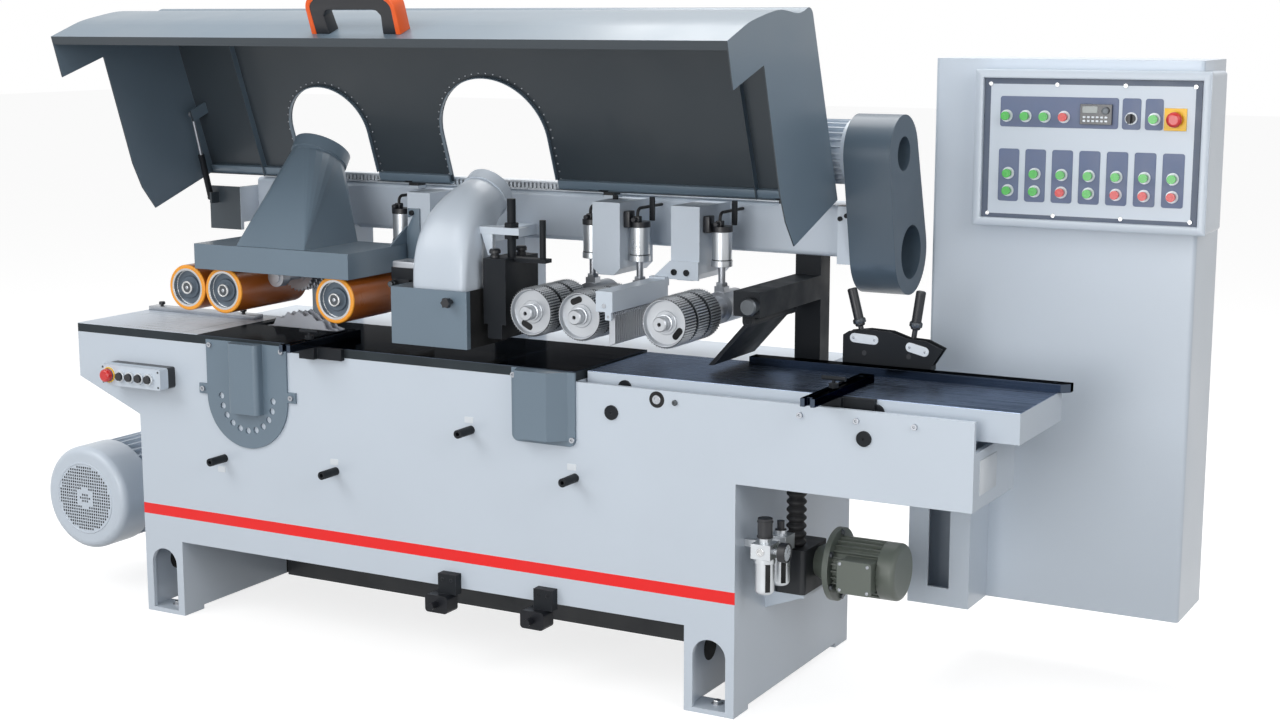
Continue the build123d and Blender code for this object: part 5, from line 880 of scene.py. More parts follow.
@dataclass
class Studio:
    """Camera, floor, lamps and world."""

    place: Point = (2859.5, -4357.7, 1648.9)
    tilt: float = 80.069
    heading: float = 28.691
    lens: float = 55.04
    sensor: float = 36.0
    floor_half: float = 30000.0
    floor_bounce: float = 0.3
    floor_matt: float = 0.42
    floor_glow: float = 0.77
    world_strength: float = 0.44

    def build(self) -> None:
        """Set up the whole studio."""
        scene = bpy.context.scene
        scene.view_settings.view_transform = "Standard"
        self.camera(scene)
        self.floor()
        self.world(scene)
        self.lamp("key_lamp", (-2600, -4200, 4300), (0, 0, 700), 3.2, 112.0)
        self.lamp("front_lamp", (900, -5600, 1500), (0, 0, 900), 2.6, 115.0)
        self.lamp("fill_lamp", (5200, -2600, 3200), (600, 0, 800), 3.0, 75.0)
        self.lamp("top_lamp", (0, 1400, 4800), (0, 0, 900), 3.4, 150.0)

    def camera(self, scene: bpy.types.Scene) -> None:
        """Add the camera at the photograph's angle."""
        data = bpy.data.cameras.new("camera")
        data.lens, data.sensor_width = self.lens, self.sensor
        eye = bpy.data.objects.new("camera", data)
        eye.location = metres(self.place)
        eye.rotation_euler = (math.radians(self.tilt), 0.0, math.radians(self.heading))
        scene.collection.objects.link(eye)
        scene.camera = eye

    @staticmethod
    def grey(value: float) -> tuple[float, float, float, float]:
        """Neutral colour of one linear value."""
        return (value, value, value, 1.0)

    def floor(self) -> None:
        """Add the pale floor, which shows white and keeps the shadow."""
        Bench.clear()
        bpy.ops.mesh.primitive_plane_add(size=2.0 * self.floor_half * MM, location=(0, 0, 0))
        ground = bpy.context.active_object
        ground.name = "floor"
        material = bpy.data.materials.new("floor_white")
        material.use_nodes = True
        board = Board(material.node_tree)
        path = board.add("ShaderNodeLightPath")
        seen = board.math("MAXIMUM", path.outputs["Is Camera Ray"], path.outputs["Is Glossy Ray"])
        seen = board.math("MAXIMUM", seen, path.outputs["Is Transmission Ray"])
        matt = board.add("ShaderNodeBsdfDiffuse")
        tone = board.mix_colour(seen, self.grey(self.floor_bounce), self.grey(self.floor_matt))
        board.feed(matt.inputs["Color"], tone)
        glow = board.add("ShaderNodeEmission")
        board.feed(glow.inputs["Strength"], board.math("MULTIPLY", seen, self.floor_glow))
        both = board.add("ShaderNodeAddShader")
        board.feed(both.inputs[0], matt.outputs[0])
        board.feed(both.inputs[1], glow.outputs[0])
        sink = board.add("ShaderNodeOutputMaterial")
        board.feed(sink.inputs["Surface"], both.outputs[0])
        ground.data.materials.append(material)

    def world(self, scene: bpy.types.Scene) -> None:
        """Give a soft even sky that shows white behind the machine."""
        sky = bpy.data.worlds.new("soft_sky")
        sky.use_nodes = True
        scene.world = sky
        board = Board(sky.node_tree)
        path = board.add("ShaderNodeLightPath")
        seen = board.math("MAXIMUM", path.outputs["Is Camera Ray"], path.outputs["Is Glossy Ray"])
        seen = board.math("MAXIMUM", seen, path.outputs["Is Transmission Ray"])
        back = board.add("ShaderNodeBackground")
        board.feed(back.inputs["Color"], (1.0, 1.0, 1.0, 1.0))
        board.feed(back.inputs["Strength"], board.mix_value(seen, self.world_strength, 1.0))
        sink = board.add("ShaderNodeOutputWorld")
        board.feed(sink.inputs["Surface"], back.outputs[0])

    def lamp(self, name: str, place: Point, aim: Point, size: float, watts: float) -> None:
        """Add a soft square lamp.

        Args:
            name: Lamp name.
            place: Where it stands, mm.
            aim: What it looks at, mm.
            size: Edge of the square, m.
            watts: Power.
        """
        data = bpy.data.lights.new(name, "AREA")
        data.size, data.energy = size, watts
        lamp = bpy.data.objects.new(name, data)
        lamp.location = metres(place)
        lamp.rotation_euler = (metres(aim) - metres(place)).to_track_quat("-Z", "Y").to_euler()
        bpy.context.scene.collection.objects.link(lamp)


@dataclass
class CadCoats:
    """Finishes of the CAD nodes that stay in view."""

    rubber_xs: Sequence[float] = (-775.0, -648.0, -274.0)
    rubber_z: float = 921.0
    rim: float = 52.5
    dish: float = 46.0
    nose: float = 17.6
    column_x: float = 1359.0
    column_pitch: float = 66.2
    red_columns: Sequence[int] = (2, 4, 5, 6)

    def finishes(self) -> dict[str, Finish]:
        """Base finish of each record slot."""
        return {
            # the table steel's dark colour is painted reflection of the hood
            "paint_white": Shop.white, "paint_slate": Shop.slate, "table_steel": Shop.table,
            # the dark orange rubber is painted shade on the roller sleeves
            "black_iron": Shop.iron, "bright_steel": Shop.satin, "orange_rubber": Shop.orange,
            "aluminium": Shop.aluminium, "black_rubber": Shop.rubber, "black_plastic": Shop.plastic,
            "red_plastic": Shop.red, "green_plastic": Shop.green, "clear_plastic": Shop.aluminium,
            "motor_grey": Shop.motor,
        }

    def zones(self) -> dict[str, list[AnyZone]]:
        """Places on each node that have another finish, or painted shade, painted light or painted
        reflection.
        """
        far = 5000.0
        table: dict[str, list[AnyZone]] = {
            "base_frame": [Zone(Shop.red_band, (-920, -350, 282), (920, -346, 312)),
                           # painted shade: the rear skirt under the base is black iron for the shade beneath
                           # the machine
                           Zone(Shop.iron, (-786, 100, 0), (786, 121, 226))],
            # painted reflection on the table top: pale at the outfeed end, dark under the hood from the table
            # finish
            "main_table": [Zone(Shop.outfeed, (-far, -far, 803), (-700, far, far)),
                           Zone(Shop.edge, (-far, -far, 0), (far, far, 803))],
            # painted shade on the faces of the open hood that look down and forward
            "hood_shell": [FaceZone(Shop.inner, (0.0, -0.418, -0.908))],
            # painted reflection: the saw blades in the pale blade finish
            "lower_arbor": [Zone(Shop.blade, (-far, -far, 0), (far, far, far))],
            "infeed_table": [Zone(Shop.infeed, (-far, -far, 0), (far, far, far)),
                             Zone(Shop.white, (-far, -far, 0), (far, far, 798.8))],
            # painted shade: the chip cover's right side wall behind its front is near black for the dark
            # inside of the cover
            "chip_cover": [Zone(Shop.hole, (149, -300, 0), (far, far, far)),
                           Zone(Shop.plastic, (-far, -far, 0), (far, -318, far))],
            # painted shade on the left end of the feed beam
            "feed_beam": [Zone(Shop.shade, (-far, -far, 0), (-871, far, far)),
                          Zone(Shop.iron, (-far, 40, 1190.5), (far, 129, far)),
                          Zone(Shop.iron, (-590, -20, 880), (-470, 210, 1002))],
            # painted shade: the belt cover is darker slate all over
            "belt_cover": [Zone(Shop.belt, (0, -far, 0), (far, far, far)),
                           RoundZone(Shop.hole, (1130, 141, 1322), Axis.X, 41.8),
                           RoundZone(Shop.hole, (1130, 205, 1075), Axis.X, 66.8)],
            # painted shade in the dark border round the panel plate, partly the gasket gap
            "cabinet": [Zone(Shop.gasket_and_shade, (1293, 0, 1163), (1816, 251, 1506)),
                        Zone(Shop.white, (1309, 0, 1178), (1800, 251, 1491)),
                        Zone(Shop.pale, (1293, 0, 1163), (1816, 248.5, 1506)),
                        Zone(Shop.yellow, (1729, 0, 1388), (1783, 248.5, 1442)),
                        Zone(Shop.screen, (1531, 0, 1398), (1609, 248.5, 1448))],
            "panel_buttons": [Zone(Shop.red, (1475, 0, 1400), (1510, far, 1430))],
            "pendant_box": [Zone(Shop.plastic, (-far, -376, 0), (far, far, far))],
            "crank_units": [Zone(Shop.plastic, (-far, -far, 0), (far, far, 200.2))],
            "press_cylinders": [Zone(Shop.plastic, (-far, -far, 1121.5), (far, far, 1160))],
            "kickback_frame": [Zone(Shop.dark, (-far, -far, 0), (far, -216, far))],
            "frl_unit": [Zone(Shop.plastic, (-far, -far, 452), (far, far, far)),
                         Zone(Shop.plastic, (1029, -far, 0), (far, far, far)),
                         Zone(Shop.hole, (1001, -360, 326), (1010, -330, 394)),
                         Zone(Shop.hole, (1001, -275, 326), (1010, -242, 394))],
            "lift_gearmotor": [Zone(Shop.iron, (-far, -far, 0), (1022, far, far))],
        }
        for column in self.red_columns:
            x = self.column_x + self.column_pitch * column
            table["panel_buttons"].append(Zone(Shop.red, (x - 15, 0, 1220), (x + 15, far, 1252)))
        for number, x in enumerate(self.rubber_xs, start=1):
            middle = (x, 0.0, self.rubber_z)
            # painted light on the rollers' lit front ring; the sleeves keep the darker orange of painted
            # shade
            table[f"rubber_roller_{number}"] = [
                Zone(Shop.painted_light_amber, (-far, -far, 0), (far, -292, far)),
                RoundZone(Shop.bright, middle, Axis.Y, self.rim),
                RoundZone(Shop.dish, middle, Axis.Y, self.dish),
                RoundZone(Shop.bright, middle, Axis.Y, self.nose)]
        return table

    def build(self) -> None:
        """Give every CAD node its material."""
        finishes, zones = self.finishes(), self.zones()
        for part in frame["record"]["subparts"]:
            node = part["node"]
            finish = finishes[part["material_slot"]]
            places = zones.get(node, [])
            name = f"{finish.name}_{node}" if places else ""
            material = Coat.material(finish, name, places)
            owner = frame["nodes"][node]
            if not owner.material_slots:
                owner.data.materials.append(material)
            for held in owner.material_slots:
                held.material = material
            log.info("node %s in %s", node, material.name)


@dataclass
class RoundSet:
    """Turned fittings of one kind, modelled once and copied to their spots."""

    name: str
    profile: Outline
    finish: Finish
    spots: Sequence[Point]
    axis: Axis = Axis.FRONT
    body: str = "base"
    steps: int = 24
    turn: Optional[Matrix] = None

    def build(self) -> Piece:
        """Spin one fitting, copy it, join the copies and dress them.

        Returns:
            The joined object.
        """
        first = Bench.turned(self.name, self.profile, self.spots[0], self.axis, self.steps)
        moves = [tuple(Vector(spot) - Vector(self.spots[0])) for spot in self.spots[1:]]
        joined = Bench.join(self.name, [first] + Bench.copies(first, moves))
        if self.turn is not None:
            Bench.place(joined, self.turn)
        return Bench.dress(joined, self.finish, self.body)


@dataclass
class PlateSet:
    """Flat blocks of one finish with rounded edges."""

    name: str
    boxes: Boxes
    bevel: float
    finish: Finish
    body: str
    corner: float = 0.0

    def build(self) -> Piece:
        """Model each block, join and dress them.

        Returns:
            The joined object.
        """
        pieces = []
        for low, high in self.boxes:
            piece = Bench.box(self.name, low, high, 0.0 if self.corner else self.bevel)
            if self.corner:
                self.round_corners(piece)
            pieces.append(piece)
        return Bench.dress(Bench.join(self.name, pieces), self.finish, self.body)

    def round_corners(self, piece: Piece) -> None:
        """Round the four corners seen from the front, then the front edges."""
        with Bench.editing(piece):
            Bench.pick_edges(piece, lambda middle, along: abs(along.y) > 0.9)
            bpy.ops.mesh.bevel(offset=self.corner * MM, segments=4, affect="EDGES")
            Bench.pick_faces(piece, lambda middle, normal: normal.y < -0.9)
            bpy.ops.mesh.bevel(offset=self.bevel * MM, segments=1, affect="EDGES")


class Profiles:
    """Half sections of small turned fittings, radius and height in millimetres."""

    @staticmethod
    def dome(radius: float, rise: float) -> Outline:
        """Low round head."""
        return [(radius, -0.6), (radius, rise * 0.3), (radius * 0.82, rise * 0.7),
                (radius * 0.45, rise * 0.95), (0.0, rise)]

    @staticmethod
    def disc(radius: float, height: float, rim: float = 0.8) -> Outline:
        """Flat disc with a broken edge."""
        return [(radius, -0.6), (radius, height - rim), (radius - rim, height), (0.0, height)]

    @staticmethod
    def cup(radius: float, height: float, bore: float, depth: float) -> Outline:
        """Disc with a round recess in its face."""
        return [(radius, -0.6), (radius, height - 0.8), (radius - 0.8, height), (bore, height),
                (bore * 0.94, height - depth), (0.0, height - depth)]

    @staticmethod
    def ring(outer: float, inner: float, height: float) -> Outline:
        """Ring with a rounded front edge."""
        edge = (outer - inner) * 0.25
        return [(inner, -0.6), (outer, -0.6), (outer, height - edge), (outer - edge, height),
                (inner + edge, height), (inner, height - edge), (inner, -0.6)]


@dataclass
class ScrewBellows:
    """Folded rubber cover of the table's lifting screw."""

    x: float = 982.0
    y: float = -137.0
    low: float = 385.5
    high: float = 727.5
    crest: float = 25.0
    root: float = 18.0
    wall: float = 1.6
    folds: int = 17

    def build(self) -> None:
        """Spin the folded wall between its two ends."""
        pitch = (self.high - self.low) / self.folds
        shape = ((0.0, 0.0), (0.18, 0.35), (0.36, 0.86), (0.5, 1.0), (0.64, 0.86), (0.82, 0.35))
        outer = []
        for fold in range(self.folds):
            for share, rise in shape:
                radius = self.root + (self.crest - self.root) * rise
                outer.append((radius, (fold + share) * pitch))
        outer.append((self.root, self.high - self.low))
        inner = [(radius - self.wall, height) for radius, height in reversed(outer)]
        profile = outer + inner + outer[:1]
        piece = Bench.turned("screw_bellows", profile, (self.x, self.y, self.low), Axis.Z, 36)
        piece.data.materials.append(Coat.material(Shop.rubber))
        Bench.only(piece)
        bpy.ops.object.shade_smooth_by_angle(angle=math.radians(40.0))
        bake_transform(piece)
        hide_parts("bellows")
        log.info("piece %s between base and infeed", piece.name)


@dataclass
class BeamDuct:
    """Slotted cable duct along the top of the feed beam."""

    x0: float = -850.0
    x1: float = 840.0
    y0: float = 132.0
    y1: float = 168.0
    z0: float = 1190.0
    z1: float = 1216.0
    pitch: float = 12.5
    tooth: float = 7.5
    wall: float = 2.0
    lip: float = 6.0

    def build(self) -> None:
        """Model the channel, one finger, its row and the lid."""
        low, high = self.z0 + self.lip, self.z1 - self.lip
        base = Bench.box("duct_base", (self.x0, self.y0, self.z0), (self.x1, self.y1, low), 0.8)
        lid = Bench.box("duct_lid", (self.x0, self.y0 - 1, high), (self.x1, self.y1 + 1, self.z1), 1.2)
        finger = Bench.box("duct_finger", (self.x0, self.y0, low - 2),
                           (self.x0 + self.tooth, self.y0 + self.wall, high + 2), 0.4, 1)
        Bench.array(finger, int((self.x1 - self.x0) / self.pitch), (self.pitch, 0, 0))
        corner, far_corner = (self.x0, self.y1 - self.wall, low - 2), (self.x1, self.y1, high + 2)
        back = Bench.box("duct_back", corner, far_corner, 0.4, 1)
        Bench.dress(Bench.join("cable_duct", [base, lid, finger, back]), Shop.pale, "base")


@dataclass
class ControlPanel:
    """Frame, legend plates, screws and drive display of the cabinet's control box."""

    front: float = 252.0
    face: float = 249.0
    rim_low: Point = (1273.0, 238.0, 1148.0)
    rim_high: Point = (1838.0, 252.5, 1525.0)
    rim_width: float = 20.0
    plate_t: float = 1.2
    top_z: tuple[float, float] = (1389.0, 1462.0)
    top_spans: Outline = ((1334.0, 1622.0), (1631.0, 1675.0), (1685.0, 1727.0))
    column_x: float = 1359.0
    column_pitch: float = 66.2
    columns: int = 7
    column_half: float = 25.5
    column_z: tuple[float, float] = (1209.0, 1336.0)
    screw_xs: Sequence[float] = (1309.0, 1473.0, 1637.0, 1800.0)
    screw_zs: Sequence[float] = (1178.0, 1491.0)
    display: tuple[float, float, float, float] = (1532.0, 1608.0, 1399.0, 1447.0)
    display_y: float = 241.0

    def build(self) -> None:
        """Build the rim, the plates, the screws and the display."""
        self.rim()
        self.plates()
        spots = [(x, self.face - 0.5, z) for x in self.screw_xs for z in self.screw_zs]
        RoundSet("panel_screws", Profiles.cup(5.5, 3.0, 2.6, 1.6), Shop.bright, spots).build()
        self.drive()

    def rim(self) -> None:
        """Model the raised frame round the panel: a block, inset and bridged to a ring."""
        rim = Bench.box("panel_rim", self.rim_low, self.rim_high, 0.0)
        with Bench.editing(rim):
            Bench.pick_faces(rim, lambda middle, normal: abs(normal.y) > 0.9)
            bpy.ops.mesh.inset(thickness=self.rim_width * MM, use_even_offset=True)
            bpy.ops.mesh.bridge_edge_loops()
            bpy.ops.mesh.select_all(action="SELECT")
            bpy.ops.mesh.normals_make_consistent(inside=False)
            front = self.rim_low[1] * MM
            Bench.pick_edges(rim, lambda middle, along: abs(middle.y - front) < 0.0005)
            bpy.ops.mesh.bevel(offset=2.5 * MM, segments=3, affect="EDGES")
        Bench.dress(rim, Shop.white, "base")

    def plates(self) -> None:
        """Model the coloured legend plates behind the buttons."""
        y0, y1 = self.face - self.plate_t, self.face + 0.4
        boxes = [((x0, y0, self.top_z[0]), (x1, y1, self.top_z[1])) for x0, x1 in self.top_spans]
        for column in range(self.columns):
            x = self.column_x + column * self.column_pitch
            low, high = self.column_z
            boxes.append(((x - self.column_half, y0, low), (x + self.column_half, y1, high)))
        PlateSet("legend_plates", boxes, 0.4, Shop.legend, "base", 6.0).build()

    def drive(self) -> None:
        """Model the window, dial and keys of the drive display."""
        x0, x1, z0, z1 = self.display
        y = self.display_y
        window = [((x0 + 5, y - 0.8, z1 - 21), (x0 + 42, y + 0.4, z1 - 5))]
        PlateSet("display_window", window, 0.3, Shop.glass, "base", 1.5).build()
        dial = Profiles.cup(9.0, 5.0, 6.5, 1.2)
        RoundSet("display_dial", dial, Shop.dark, [(x1 - 15, y, z1 - 15)]).build()
        keys = []
        for column in range(6):
            for row in range(2):
                x, z = x0 + 7 + 10.5 * column, z0 + 6 + 9 * row
                keys.append(((x, y - 1.2, z), (x + 6.5, y + 0.4, z + 4.5)))
        PlateSet("display_keys", keys, 0.3, Shop.pale, "base", 1.0).build()


@dataclass
class OperatorBox:
    """Collars and screws on the left operator box."""

    front: float = -407.5
    z: float = 679.0
    button_xs: Sequence[float] = (-925.0, -891.0, -857.0, -823.0)
    stop_x: float = -970.0
    low: Point = (-1000.0, -407.5, 650.0)
    high: Point = (-785.0, -407.5, 708.0)
    inset: float = 8.0

    def build(self) -> None:
        """Build the collars, the stop button's ring and the corner screws."""
        spots = [(x, self.front, self.z) for x in self.button_xs]
        RoundSet("operator_collars", Profiles.ring(15.5, 11.2, 9.0), Shop.pale, spots).build()
        stop = [(self.stop_x, self.front, self.z)]
        RoundSet("operator_stop_ring", Profiles.ring(21.5, 18.6, 3.0), Shop.yellow, stop).build()
        xs = (self.low[0] + self.inset, self.high[0] - self.inset)
        zs = (self.low[2] + self.inset, self.high[2] - self.inset)
        corners = [(x, self.front, z) for x in xs for z in zs]
        RoundSet("operator_screws", Profiles.cup(3.2, 1.2, 1.8, 0.9), Shop.dark, corners, steps=16).build()


@dataclass
class MotorGrill:
    """Perforated air inlet on the saw motor's cowl."""

    x: float = -1190.0
    y: float = -300.0
    z: float = 280.0
    radius: float = 96.0
    solid_ring: tuple[float, float] = (17.0, 31.0)
    pitch_x: float = 8.4
    pitch_z: float = 9.0
    slot: tuple[float, float] = (4.4, 5.6)

    def holes(self, dz: float) -> list[float]:
        """Places of the holes along one row.

        Args:
            dz: Height of the row above the motor's axis, mm.

        Returns:
            Offsets from the axis, mm.
        """
        count = int(self.radius / self.pitch_x)
        spots = []
        for step in range(-count, count + 1):
            away = math.hypot(step * self.pitch_x, dz)
            if away < self.radius and not self.solid_ring[0] < away < self.solid_ring[1]:
                spots.append(step * self.pitch_x)
        return spots

    def runs(self, spots: Sequence[float]) -> list[tuple[float, int]]:
        """Gather neighbouring holes.

        Args:
            spots: Offsets of the holes of one row.

        Returns:
            The first offset and the count of each unbroken run.
        """
        found: list[tuple[float, int]] = []
        for spot in spots:
            if found and abs(found[-1][0] + found[-1][1] * self.pitch_x - spot) < 0.01:
                found[-1] = (found[-1][0], found[-1][1] + 1)
            else:
                found.append((spot, 1))
        return found

    def build(self) -> None:
        """Model one hole, its rows and the pressed ring round them."""
        pieces = []
        rows = int(self.radius / self.pitch_z)
        width, height = self.slot
        for row in range(-rows, rows + 1):
            dz = row * self.pitch_z
            for first, count in self.runs(self.holes(dz)):
                x, z = self.x + first - width / 2, self.z + dz - height / 2
                far_corner = (x + width, self.y + 1.0, z + height)
                hole = Bench.box("grill_hole", (x, self.y - 0.5, z), far_corner, 0.0)
                pieces.append(Bench.array(hole, count, (self.pitch_x, 0, 0)))
        Bench.dress(Bench.join("motor_grill", pieces), Shop.hole, "base")
        ring = Profiles.ring(self.radius + 9.0, self.radius + 4.0, 1.6)
        RoundSet("grill_ring", ring, Shop.white, [(self.x, self.y, self.z)], steps=64).build()


@dataclass
class HoodDressing:
    """Edge trims, rivets and grip of the hinged hood, drawn closed and turned open."""

    hinge_y: float = 83.0
    hinge_z: float = 1208.0
    opening: float = 69.73
    skin: float = 3.0
    arches: Sequence[tuple[float, float, float]] = ((-523.0, 131.0, 272.0), (21.0, 165.0, 306.0))
    trim_out: float = 2.0
    trim_depth: float = 10.0
    trim_t: float = 2.5
    rivet_out: float = 12.0
    rivet_pitch: float = 22.0
    stop_short: float = 24.0
    hem_spans: Outline = ((-985.0, -662.0), (-384.0, -152.0), (194.0, 974.0))
    hem_depth: float = 13.0
    front_y: float = -499.0
    grip_x: tuple[float, float] = (-153.0, 108.0)
    grip_z: tuple[float, float] = (790.0, 830.0)
    grip_out: float = 97.0
    bar: float = 37.0
    post: float = 52.0
    bend: float = 36.0

    def turn(self) -> Matrix:
        """Matrix from the closed to the open hood."""
        hinge = Matrix.Translation(metres((0, self.hinge_y, self.hinge_z)))
        return hinge @ Matrix.Rotation(math.radians(-self.opening), 4, "X") @ hinge.inverted()

    def arch_line(self, arch: tuple[float, float, float], out: float, pitch: float) -> list[Point]:
        """Points along an arch, outside its edge.

        Args:
            arch: Middle, half width and reach, mm.
            out: Distance outside the edge, mm.
            pitch: Distance between points, mm.

        Returns:
            Points under the skin, from the right foot to the left one.
        """
        x, half, reach = arch
        radius = half + out
        middle, foot = self.hinge_y - reach + half, self.hinge_y - self.stop_short
        z = self.hinge_z - self.skin
        straight = int((foot - middle) / pitch)
        curve = int(math.pi * radius / pitch)
        right = [(x + radius, foot - pitch * step, z) for step in range(straight)]
        bend = []
        for step in range(curve + 1):
            angle = math.pi * step / curve
            bend.append((x + radius * math.cos(angle), middle - radius * math.sin(angle), z))
        left = [(2 * x - px, py, pz) for px, py, pz in reversed(right)]
        return right + bend + left

    def trims(self) -> None:
        """Model the folded edge of each arch: a line, drawn down and thickened."""
        pieces = []
        for arch in self.arches:
            strip = Bench.trace("arch_trim", self.arch_line(arch, self.trim_out, 12.0), False)
            with Bench.editing(strip):
                bpy.ops.mesh.select_all(action="SELECT")
                drop = {"value": (0, 0, -self.trim_depth * MM)}
                bpy.ops.mesh.extrude_region_move(TRANSFORM_OT_translate=drop)
            Bench.only(strip)
            bpy.ops.object.modifier_add(type="SOLIDIFY")
            wall = strip.modifiers[-1]
            wall.thickness, wall.offset = self.trim_t * MM, 0.0
            bpy.ops.object.modifier_apply(modifier=wall.name)
            pieces.append(strip)
        joined = Bench.place(Bench.join("arch_trims", pieces), self.turn())
        Bench.dress(joined, Shop.slate, "hood")

    def hem(self) -> None:
        """Model the folded hem along the hinge edge, between the arches."""
        top = self.hinge_z - self.skin + 0.2
        pieces = []
        for x0, x1 in self.hem_spans:
            low = (x0, self.hinge_y - self.stop_short, top - self.hem_depth)
            pieces.append(Bench.box("hood_hem", low, (x1, self.hinge_y - 3.0, top), 1.0))
        Bench.dress(Bench.place(Bench.join("hood_hem", pieces), self.turn()), Shop.slate, "hood")

    def rivets(self) -> None:
        """Set a row of rivets round each arch."""
        spots = []
        for arch in self.arches:
            spots.extend(self.arch_line(arch, self.rivet_out, self.rivet_pitch))
        RoundSet("hood_rivets", Profiles.dome(2.6, 2.0), Shop.satin, spots, axis=Axis.DOWN,
                 body="hood", steps=8, turn=self.turn()).build()

    def corner(self, x: float, radius: float, start: float, end: float) -> Outline:
        """Arc of the grip's outline.

        Args:
            x: Middle of the arc.
            radius: Its radius.
            start: First angle, degrees.
            end: Last angle, degrees.

        Returns:
            Points as place along the hood and distance out of it.
        """
        steps = 8
        centre = self.grip_out - self.bend
        points = []
        for step in range(steps + 1):
            angle = math.radians(start + (end - start) * step / steps)
            points.append((x + radius * math.cos(angle), centre + radius * math.sin(angle)))
        return points

    def raised(self, name: str, outline: Outline, over: float, bevel: float) -> Piece:
        """Model a piece of the grip from its outline.

        Args:
            name: Piece name.
            outline: Points as place along the hood and distance out of it.
            over: How far it is wider than the grip on each side.
            bevel: Rounding of its edges.

        Returns:
            The piece on the open hood.
        """
        z0, z1 = self.grip_z[0] - over, self.grip_z[1] + over
        points = [(x, self.front_y - out, z0) for x, out in outline]
        return Bench.place(Bench.plate(name, points, (0, 0, z1 - z0), bevel, 3), self.turn())

    def grip(self) -> None:
        """Model the black grip and its two coloured corners."""
        left, right = self.grip_x
        left_c, right_c = left + self.bend, right - self.bend
        under = self.grip_out - self.bar
        outline = [(left, -1.0)] + self.corner(left_c, self.bend, 180, 90)
        outline += self.corner(right_c, self.bend, 90, 0)
        outline += [(right, -1.0), (right - self.post, -1.0), (right - self.post + 6, under - 14)]
        outline += [(right - self.post - 4, under - 2), (right - self.post - 14, under)]
        outline += [(left + self.post + 14, under), (left + self.post + 4, under - 2)]
        outline += [(left + self.post - 6, under - 14), (left + self.post, -1.0)]
        grip = Bench.dress(self.raised("hood_grip", outline, 0.0, 7.0), Shop.plastic, "hood")
        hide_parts("hood_handle")
        outer, inner = self.bend + 1.6, self.bend - 11.0
        cap = [(left - 1.6, -0.5)] + self.corner(left_c, outer, 180, 112)
        cap += self.corner(left_c, inner, 112, 180) + [(left + 13.0, -0.5)]
        other = [(left + right - x, out) for x, out in reversed(cap)]
        caps = [self.raised("grip_cap", cap, 1.4, 3.0), self.raised("grip_cap", other, 1.4, 3.0)]
        Bench.dress(Bench.join("grip_caps", caps), Shop.orange_plastic, "hood")

    def build(self) -> None:
        """Build trims, rivets and grip."""
        self.trims()
        self.hem()
        self.rivets()
        self.grip()


